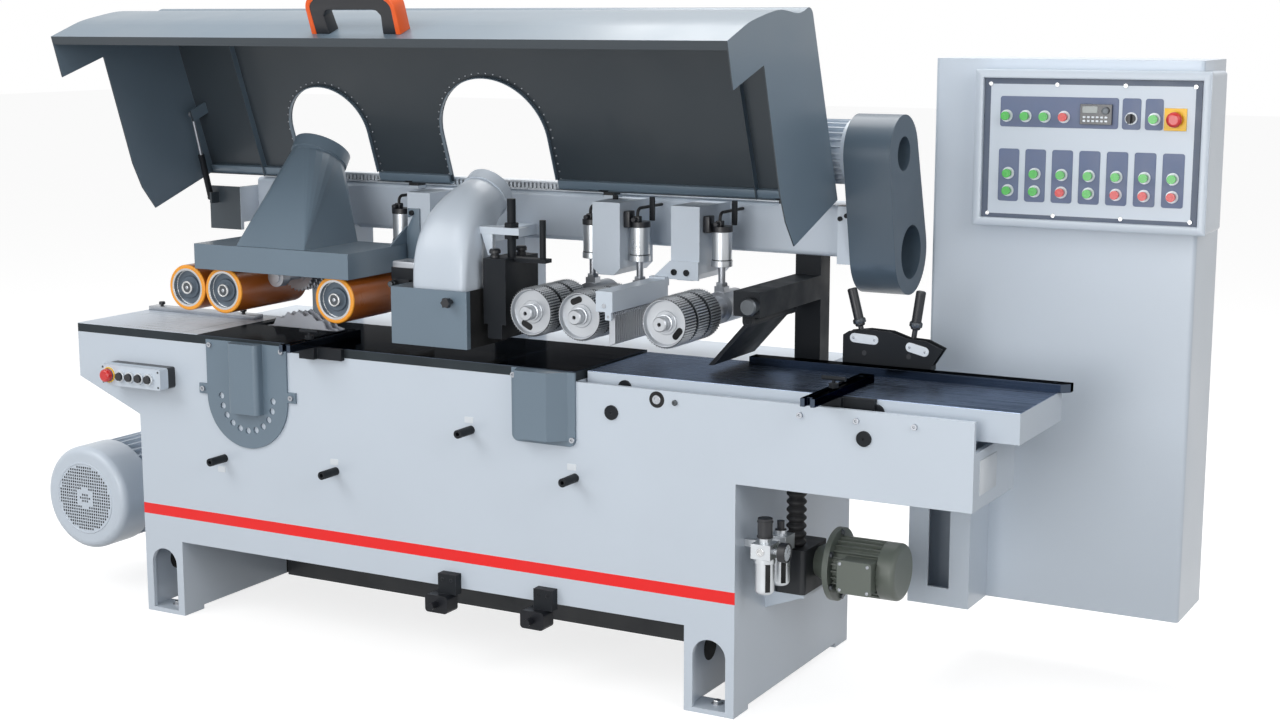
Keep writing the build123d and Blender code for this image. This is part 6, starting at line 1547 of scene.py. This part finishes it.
@dataclass
class KnurledRollers:
    """The three toothed feed rollers, modelled in place of their plain CAD shapes."""

    xs: Sequence[float] = (329.0, 468.0, 702.0)
    z: float = 932.0
    front: float = 297.0
    rear: float = 107.0
    wheels: int = 3
    gap: float = 14.0
    core: float = 50.0
    root: float = 58.2
    tip: float = 63.0
    foot: float = 55.5
    teeth: int = 52
    rows: int = 7
    slot_ring: float = 39.0
    dish_depth: float = 12.0
    slot_angles: Sequence[float] = (-153.0, -22.0, 129.0)

    def width(self) -> float:
        """Width of one wheel."""
        return (self.front - self.rear - (self.wheels - 1) * self.gap) / self.wheels

    def tooth_rows(self) -> Piece:
        """Model a toothed ring, its rows and the three wheels, along Z from the origin.

        Returns:
            The teeth of one roller.
        """
        pitch = self.width() / self.rows
        profile = [(self.foot, 0.0), (self.tip, pitch / 2), (self.foot, pitch)]
        ring = Bench.turned("tooth_rows", profile, (0, 0, 0), Axis.Z, 2 * self.teeth)
        step = math.pi / self.teeth
        high = (self.foot + self.tip) / 2 * MM

        def between(point: Vector) -> bool:
            """Whether a point lies on the crest between two teeth."""
            turn = round(math.atan2(point.y, point.x) / step)
            return math.hypot(point.x, point.y) > high and turn % 2 == 1

        with Bench.editing(ring):
            Bench.pick_points(ring, between)
            share = self.foot / self.tip
            bpy.ops.transform.resize(value=(share, share, 1.0), center_override=(0.0, 0.0, 0.0))
        Bench.array(ring, self.rows, (0, 0, pitch))
        return Bench.array(ring, self.wheels, (0, 0, self.width() + self.gap))

    def profiles(self) -> tuple[Outline, Outline, Outline]:
        """Half sections of the core, of one wheel and of the front face with its hub."""
        front, rear, width = self.front, self.rear, self.width()
        behind, floor = self.dish_depth + 1.0, front - self.dish_depth
        core = [(0.0, rear - 12), (15.0, rear - 12), (15.0, rear + 0.5), (self.core, rear + 0.5),
                (self.core, front - behind), (0.0, front - behind)]
        low = self.core - 1.0
        wheel = [(low, 0.0), (self.root - 1, 0.0), (self.root, 1.0), (self.root, width - 1),
                 (self.root - 1, width), (55.5, width), (54.5, width - behind), (low, width - behind),
                 (low, 0.0)]
        face = [(57.4, front - 0.6), (57.0, front + 0.3), (55.6, front + 0.3), (55.0, front - 1.0),
                (53.8, floor + 2.0), (52.0, floor), (29.0, floor), (29.0, floor + 3.0), (27.5, floor + 4.5),
                (21.5, floor + 4.5), (21.5, front - 1.0), (18.4, front), (18.4, front + 9.5),
                (17.5, front + 10.2), (17.5, front + 11.4), (18.4, front + 12.2), (18.4, front + 22),
                (16.0, front + 25), (5.0, front + 25), (4.6, front + 20), (0.0, front + 20)]
        return core, wheel, face

    def build(self) -> None:
        """Build each roller on its own body."""
        core, wheel, face = self.profiles()
        teeth = self.tooth_rows()
        step = self.width() + self.gap
        for number, x in enumerate(self.xs, start=1):
            body = f"knurled_roller_{number}"
            middle = (x, 0.0, self.z)
            # painted shade: the core and wheels under the teeth are dark oiled steel so the roots between the
            # teeth read as shade
            shaft = RoundSet(f"roller_core_{number}", core, Shop.dark, [middle], body=body, steps=48).build()
            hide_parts(body)
            spots = [(x, -self.rear - step * wheel_no, self.z) for wheel_no in range(self.wheels)]
            RoundSet(f"roller_wheels_{number}", wheel, Shop.dark, spots, body=body, steps=64).build()
            RoundSet(f"roller_face_{number}", face, Shop.face, [middle], body=body, steps=64).build()
            hole = [(x, -self.front - 20.2, self.z)]
            RoundSet(f"roller_socket_{number}", Profiles.disc(4.6, 0.6, 0.2), Shop.hole, hole,
                     body=body).build()
            rows = Bench.copies(teeth, [(0, 0, 0)])[0]
            rows.name = f"roller_teeth_{number}"
            turn = Axis.FRONT.turn()
            Bench.place(rows, Matrix.Translation(metres((x, -self.rear, self.z))) @ turn)
            # painted highlight: the teeth in pale faced steel give the bright crests over the dark roots
            Bench.dress(rows, Shop.face, body)
            self.slot(number, x, body)
        Bench.only(teeth)
        bpy.ops.object.delete()

    def slot(self, number: int, x: float, body: str) -> None:
        """Model the dark slot in a roller's front face.

        Args:
            number: Which roller.
            x: Its place along the machine.
            body: The body it turns with.
        """
        floor = self.dish_depth - self.front
        plate = Bench.box(f"roller_slot_{number}", (-17.0, floor - 0.5, -8.0), (17.0, floor + 0.4, 8.0), 0.0)
        PlateSet("roller_slot", (), 0.2, Shop.hole, body, 7.6).round_corners(plate)
        angle = math.radians(self.slot_angles[number - 1])
        away = metres((x + self.slot_ring * math.sin(angle), 0, self.z + self.slot_ring * math.cos(angle)))
        Bench.place(plate, Matrix.Translation(away) @ Matrix.Rotation(angle, 4, "Y"))
        Bench.dress(plate, Shop.hole, body)


@dataclass
class RubberHubs:
    """Hubs in the dished faces of the rubber rollers."""

    xs: Sequence[float] = (-775.0, -648.0, -274.0)
    z: float = 921.0
    nose_y: float = -298.0
    floor_y: float = -283.0

    def build(self) -> None:
        """Build the hub of each roller on its own body."""
        boss = [(31.0, -0.6), (31.0, 3.0), (29.0, 5.0), (17.0, 5.0), (17.0, -0.6)]
        ring = Profiles.ring(18.2, 12.6, 2.0)
        for number, x in enumerate(self.xs, start=1):
            body = f"rubber_roller_{number}"
            spot = [(x, self.nose_y, self.z)]
            RoundSet(f"rubber_boss_{number}", boss, Shop.dish, [(x, self.floor_y, self.z)], body=body,
                     steps=40).build()
            RoundSet(f"rubber_ring_{number}", ring, Shop.bright, spot, body=body, steps=40).build()
            RoundSet(f"rubber_socket_{number}", Profiles.disc(12.8, 0.5, 0.2), Shop.dark, spot,
                     body=body).build()
            RoundSet(f"rubber_nut_{number}", Profiles.dome(5.5, 1.8), Shop.satin, spot, body=body,
                     steps=6).build()


@dataclass
class FeedDetails:
    """Brackets, straps and valve blocks round the feed and the chip hood."""

    wing: Outline = ((-214, 1143), (-176, 1143), (-176, 1000), (-235, 1000), (-240, 1049),
                                           (-196, 1126), (-214, 1118))
    wing_y: float = -45.0
    wing_t: float = 5.4
    leg: Outline = ((138, 1111), (171, 1111), (171, 1056), (157, 1056))
    leg_y: float = -222.0
    straps: Boxes = (((372, 40, 1184), (386, 46, 1197)), ((480, 40, 1136), (494, 46, 1197)),
                                             ((714, 40, 1136), (728, 46, 1197)))
    valves: Boxes = (((440, -24, 1122), (457, 6, 1164)), ((667, -24, 1120), (684, 6, 1162)))
    head: Boxes = (((-135, -235, 978), (-32, -170, 1010)), ((-135, -235, 952), (-79.5, -170, 980)))
    head_cap: tuple[Point, Point] = ((-128, -238, 1009.5), (-60, -172, 1026))
    stub: Point = (-122.0, -235.0, 968.0)

    def build(self) -> None:
        """Build every bracket and block."""
        wing = [(x, self.wing_y, z) for x, z in self.wing]
        Bench.dress(Bench.plate("tray_wing", wing, (0, self.wing_t, 0), 0.8), Shop.slate, "base")
        bolt = [(-200.0, self.wing_y, 1131.0)]
        RoundSet("wing_bolt", Profiles.cup(7.0, 6.0, 3.6, 2.0), Shop.iron, bolt).build()
        leg = [(x, self.leg_y, z) for x, z in self.leg]
        Bench.dress(Bench.plate("bracket_leg", leg, (0, 6, 0), 0.8), Shop.white, "base")
        PlateSet("press_straps", self.straps, 0.8, Shop.iron, "base").build()
        PlateSet("valve_blocks", self.valves, 2.0, Shop.plastic, "base").build()
        PlateSet("cutter_head", self.head, 2.0, Shop.iron, "base").build()
        PlateSet("cutter_cap", [self.head_cap], 2.0, Shop.satin, "base").build()
        stub = [(9.0, -0.6), (9.0, 14.0), (7.5, 16.0), (7.5, 24.0), (6.5, 25.0), (0.0, 25.0)]
        RoundSet("cutter_stub", stub, Shop.dark, [self.stub]).build()


@dataclass
class LeverStation:
    """Scale plates on the lever bracket and collars on the levers."""

    front: float = 20.0
    plates: Sequence[tuple[float, ...]] = ((1084.5, 879.5, 74.0, 2.5), (1221.5, 864.0, 60.0, 13.0))
    height: float = 23.0
    levers: Outline = ((1085.0, -15.0), (1200.0, 8.0))
    lever_y: float = 36.0
    pivot_z: float = 845.0
    collar_at: float = 72.0

    def build(self) -> None:
        """Build the plates with their rivets, then the collars."""
        plates, heads = [], []
        for x, z, width, slope in self.plates:
            half, tall = width / 2, self.height / 2
            turn = Matrix.Translation(metres((x, 0, z))) @ Matrix.Rotation(math.radians(slope), 4, "Y")
            low, high = (-half, self.front - 1.4, -tall), (half, self.front + 0.4, tall)
            plate = Bench.box("lever_scale", low, high, 0.0)
            PlateSet("lever_scale", (), 0.5, Shop.pale, "infeed", tall - 0.5).round_corners(plate)
            plates.append(Bench.place(plate, turn))
            for side in (-1.0, 1.0):
                spot = turn @ metres((side * (half - 10.0), self.front - 1.4, 0.0))
                heads.append(tuple(spot / MM))
        Bench.dress(Bench.join("lever_scales", plates), Shop.pale, "infeed")
        RoundSet("scale_rivets", Profiles.dome(3.2, 1.6), Shop.satin, heads, body="infeed", steps=12).build()
        collar = [(12.2, 0.0), (15.0, 0.0), (16.0, 2.0), (16.0, 9.0), (14.0, 12.0), (12.2, 12.0), (12.2, 0.0)]
        for number, (x, lean) in enumerate(self.levers, start=1):
            piece = Bench.turned(f"lever_collar_{number}", collar, (0, 0, self.collar_at), Axis.Z, 28)
            turn = Matrix.Rotation(math.radians(lean), 4, "Y")
            Bench.place(piece, Matrix.Translation(metres((x, self.lever_y, self.pivot_z))) @ turn)
            Bench.dress(piece, Shop.dark, f"lever_{number}")


@dataclass
class BaseFittings:
    """Caps, blank plates and bolts on the base."""

    front: float = -347.5
    table_front: float = -298.0
    caps: Outline = ((587.0, 714.0), (1238.0, 717.0))
    table_caps: Outline = ((597.0, 768.0), (1249.0, 770.0))
    bolt: tuple[float, float] = (759.0, 754.0)
    port: tuple[float, float] = (710.0, 757.0)
    labels: Outline = ((-632.0, 438.0), (-249.0, 500.0), (176.0, 655.0), (475.0, 567.0))
    label_half: tuple[float, float] = (13.0, 8.0)
    foot_x: float = 852.0
    anchor_y: float = 299.5
    foot_floor: float = 12.0
    foot_wall: float = 797.0
    crank_xs: Sequence[float] = (91.0, 377.0)
    crank_front: float = -373.5
    plate_low: Point = (1495.6, -306.0, 606.0)
    plate_high: Point = (1497.2, -192.0, 686.0)

    def build(self) -> None:
        """Build every fitting of the base."""
        cap = Profiles.cup(18.0, 5.0, 3.2, 2.5)
        RoundSet("plate_caps", cap, Shop.iron, self.on_front(self.caps), steps=36).build()
        spots = [(x, self.table_front, z) for x, z in self.table_caps]
        RoundSet("table_caps", cap, Shop.iron, spots, body="infeed", steps=36).build()
        RoundSet("plate_bolt", Profiles.cup(7.0, 5.0, 3.4, 2.5), Shop.dark,
                 self.on_front([self.bolt])).build()
        RoundSet("plate_port", Profiles.disc(20.0, 0.8, 0.3), Shop.hole, self.on_front([self.port]),
                 steps=36).build()
        RoundSet("port_plug", Profiles.cup(11.0, 3.5, 6.0, 2.0), Shop.satin,
                 self.on_front([self.port])).build()
        wide, tall = self.label_half
        boxes = []
        for x, z in self.labels:
            boxes.append(((x - wide, self.front - 0.9, z - tall), (x + wide, self.front + 0.4, z + tall)))
        PlateSet("blank_labels", boxes, 0.3, Shop.pale, "base", 2.0).build()
        Bench.dress(Bench.box("rating_plate", self.plate_low, self.plate_high, 0.5), Shop.pale, "base")
        self.feet()
        dots = []
        for x in self.crank_xs:
            dots.extend([(x + 14.0, self.crank_front, 238.0), (x + 40.0, self.crank_front, 238.0)])
        RoundSet("crank_screws", Profiles.cup(5.5, 1.0, 3.5, 0.8), Shop.iron, dots, steps=20).build()

    def on_front(self, spots: Outline) -> list[Point]:
        """Points on the front plate from places along and up it."""
        return [(x, self.front, z) for x, z in spots]

    def feet(self) -> None:
        """Bolt each foot down and show the round hole in its inner wall."""
        spots = []
        for side in (-1.0, 1.0):
            for end in (-1.0, 1.0):
                spots.append((side * self.foot_x, end * self.anchor_y, self.foot_floor))
        washer = Profiles.disc(15.0, 2.6, 0.6)
        RoundSet("anchor_washers", washer, Shop.satin, spots, axis=Axis.Z).build()
        head = [(10.5, 2.0), (10.5, 9.0), (9.4, 10.4), (0.0, 10.4)]
        RoundSet("anchor_heads", head, Shop.bright, spots, axis=Axis.Z, steps=6).build()
        walls = [(self.foot_wall, -230.0, 128.0), (-907.0, -230.0, 128.0)]
        RoundSet("foot_holes", Profiles.disc(34.0, 0.6, 0.2), Shop.hole, walls, axis=Axis.X, steps=36).build()


@dataclass
class PressDressing:
    """Knobs, nuts, screws and elbows around the presses and the shoe."""

    shoe_top: float = 1053.0
    shoe_knobs: Outline = ((189.0, -238.0), (212.0, -150.0))
    screw: tuple[float, float] = (215.0, -200.0)
    bracket: tuple[float, float] = (1110.0, 1128.0)
    finger_face: float = -46.0
    finger_screws: Outline = ((597.0, 1020.0), (632.0, 1020.0))
    finger_bolt: Point = (557.0, -330.0, 968.0)
    press_xs: Sequence[float] = (329.0, 468.0, 702.0, -711.5, -274.0)
    press_y: float = 12.0
    clevis_top: float = 985.0
    cylinder_top: float = 1136.0
    end_face: float = 100.0
    end_screws: Outline = ((983.0, 1160.0), (1000.0, 1168.0))

    def build(self) -> None:
        """Build all small pieces of the presses."""
        knob = [(12.5, -0.6), (12.5, 7.0), (10.5, 8.0), (10.5, 10.0), (14.5, 12.0), (14.5, 19.0),
                (11.5, 23.0), (0.0, 24.0)]
        spots = [(x, y, self.shoe_top) for x, y in self.shoe_knobs]
        RoundSet("shoe_knobs", knob, Shop.plastic, spots, axis=Axis.Z, body="pressure_block",
                 steps=28).build()
        nut = [(13.0, 0.0), (20.0, 0.0), (20.0, 9.0), (18.5, 11.0), (13.0, 11.0), (13.0, 0.0)]
        x, y = self.screw
        spots = [(x, y, self.bracket[1]), (x, y, self.bracket[0] - 11.0)]
        RoundSet("screw_nuts", nut, Shop.iron, spots, axis=Axis.Z, steps=6).build()
        spots = [(sx, self.finger_face, sz) for sx, sz in self.finger_screws]
        RoundSet("finger_screws", Profiles.cup(8.0, 4.0, 4.2, 2.5), Shop.iron, spots).build()
        RoundSet("finger_bolt", Profiles.cup(5.5, 2.5, 3.5, 1.0), Shop.satin, [self.finger_bolt]).build()
        spots = [(sx, self.end_face, sz) for sx, sz in self.end_screws]
        RoundSet("bracket_screws", Profiles.cup(6.0, 6.0, 3.2, 3.0), Shop.iron, spots).build()
        self.elbows()
        rod_nut = [(9.2, 0.0), (16.0, 0.0), (16.0, 7.0), (14.8, 8.6), (9.2, 8.6), (9.2, 0.0)]
        for number, px in enumerate(self.press_xs, start=1):
            RoundSet(f"rod_nut_{number}", rod_nut, Shop.satin, [(px, self.press_y, self.clevis_top)],
                     axis=Axis.Z, body=f"press_unit_{number}", steps=6).build()

    def elbows(self) -> None:
        """Model the elbow and the throttle screw on each cylinder."""
        boxes, screws, bands = [], [], []
        top = self.cylinder_top
        for x in self.press_xs:
            boxes.append(((x - 8.5, -10.0, top - 1.0), (x + 8.5, 9.0, top + 15.0)))
            screws.append((x, -10.0, top + 7.0))
            bands.append((x, self.press_y, top - 86.0))
        PlateSet("air_elbows", boxes, 2.5, Shop.plastic, "base").build()
        throttle = [(5.5, -0.6), (5.5, 6.0), (3.6, 6.0), (3.6, 9.0), (6.2, 10.0), (6.2, 16.0),
                    (5.0, 17.0), (0.0, 17.0)]
        RoundSet("throttle_screws", throttle, Shop.plastic, screws, steps=16).build()
        band = [(25.0, 0.0), (25.6, 0.2), (25.6, 2.6), (25.0, 2.8), (25.0, 0.0)]
        RoundSet("cylinder_bands", band, Shop.dark, bands, axis=Axis.Z, steps=40).build()


@dataclass
class AirService:
    """Gauge dial, port and knob rings of the air service unit."""

    dial_x: float = 1046.0
    y: float = -334.0
    z: float = 423.0
    body_front: float = -359.0
    unit_x: float = 990.0
    knob_r: float = 17.5

    def build(self) -> None:
        """Build the dial with its marks and needle, the port and the rings."""
        spot = [(self.dial_x, self.y, self.z)]
        RoundSet("gauge_dial", Profiles.disc(20.0, 0.8, 0.2), Shop.pale, spot, axis=Axis.X, steps=40).build()
        RoundSet("gauge_bezel", Profiles.ring(23.6, 19.6, 3.4), Shop.plastic, spot, axis=Axis.X,
                 steps=40).build()
        marks = []
        for step in range(9):
            marks.append(self.hand("gauge_mark", 13.5, 17.5, 0.5, -120.0 + 30.0 * step))
        marks.append(self.hand("gauge_needle", -3.5, 13.0, 0.6, -40.0))
        Bench.dress(Bench.join("gauge_marks", marks), Shop.plastic, "base")
        RoundSet("gauge_pin", Profiles.dome(2.4, 2.4), Shop.satin, spot, axis=Axis.X, steps=16).build()
        port = [(self.unit_x, self.body_front, self.z)]
        RoundSet("service_port", Profiles.cup(10.0, 3.0, 6.0, 2.4), Shop.bright, port).build()
        ring = Profiles.ring(self.knob_r + 1.6, self.knob_r - 0.4, 3.0)
        spots = [(self.unit_x, self.y, self.z + lift) for lift in (32.0, 68.0)]
        RoundSet("knob_rings", ring, Shop.plastic, spots, axis=Axis.Z, steps=32).build()

    def hand(self, name: str, start: float, end: float, half: float, angle: float) -> Piece:
        """Model a straight mark on the dial.

        Args:
            name: Object name.
            start: Where it starts from the middle, mm.
            end: Where it ends, mm.
            half: Half its width, mm.
            angle: Turn from upright, degrees.

        Returns:
            The mark.
        """
        mark = Bench.box(name, (0.4, -half, start), (1.2, half, end), 0.15, 1)
        place = Matrix.Translation(metres((self.dial_x, self.y, self.z)))
        return Bench.place(mark, place @ Matrix.Rotation(math.radians(angle), 4, "X"))


@dataclass
class LiftDrive:
    """Terminal lid and bolts of the table's gearmotor."""

    lid_low: Point = (1112.0, -195.0, 300.0)
    lid_high: Point = (1200.0, -189.0, 382.0)
    inset: float = 9.0
    flange_x: float = 1082.0
    axis_y: float = -90.0
    axis_z: float = 341.0
    bolt_ring: float = 80.0
    bolts: int = 6

    def build(self) -> None:
        """Build the lid, its screws and the flange bolts."""
        PlateSet("terminal_lid", [(self.lid_low, self.lid_high)], 2.0, Shop.motor, "base", 9.0).build()
        xs = (self.lid_low[0] + self.inset, self.lid_high[0] - self.inset)
        zs = (self.lid_low[2] + self.inset, self.lid_high[2] - self.inset)
        spots = [(x, self.lid_low[1], z) for x in xs for z in zs]
        RoundSet("lid_screws", Profiles.cup(4.2, 2.0, 2.4, 1.4), Shop.satin, spots, steps=16).build()
        heads = []
        for step in range(self.bolts):
            angle = FULL_TURN * (step + 0.5) / self.bolts
            heads.append((self.flange_x, self.axis_y + self.bolt_ring * math.cos(angle),
                          self.axis_z + self.bolt_ring * math.sin(angle)))
        head = [(7.5, -0.6), (7.5, 5.0), (6.6, 6.0), (0.0, 6.0)]
        RoundSet("flange_bolts", head, Shop.dark, heads, axis=Axis.X, steps=6).build()


@dataclass
class TableDressing:
    """Side rail on the outfeed table with its knobs."""

    low: Point = (-1130.0, -68.0, 803.8)
    high: Point = (-735.0, -30.0, 816.0)
    knob_xs: Sequence[float] = (-1095.0, -790.0)

    def build(self) -> None:
        """Build the rail and its knobs."""
        Bench.dress(Bench.box("side_rail", self.low, self.high, 1.2), Shop.satin, "base")
        middle = (self.low[1] + self.high[1]) / 2
        knob = [(5.0, -0.6), (5.0, 4.0), (9.0, 5.0), (9.5, 9.0), (8.0, 13.0), (0.0, 14.0)]
        spots = [(x, middle, self.high[2]) for x in self.knob_xs]
        RoundSet("rail_knobs", knob, Shop.plastic, spots, axis=Axis.Z, steps=20).build()


def main() -> None:
    """Build every part of the scene in order."""
    Studio().build()
    CadCoats().build()
    for assembly in (ScrewBellows(), BeamDuct(), ControlPanel(), OperatorBox(), MotorGrill(),
                     HoodDressing(), KnurledRollers(), RubberHubs(), FeedDetails(), LeverStation(),
                     BaseFittings(), PressDressing(), AirService(), LiftDrive(), TableDressing()):
        log.info("assembly %s", type(assembly).__name__)
        assembly.build()


if __name__ == "__main__":
    main()
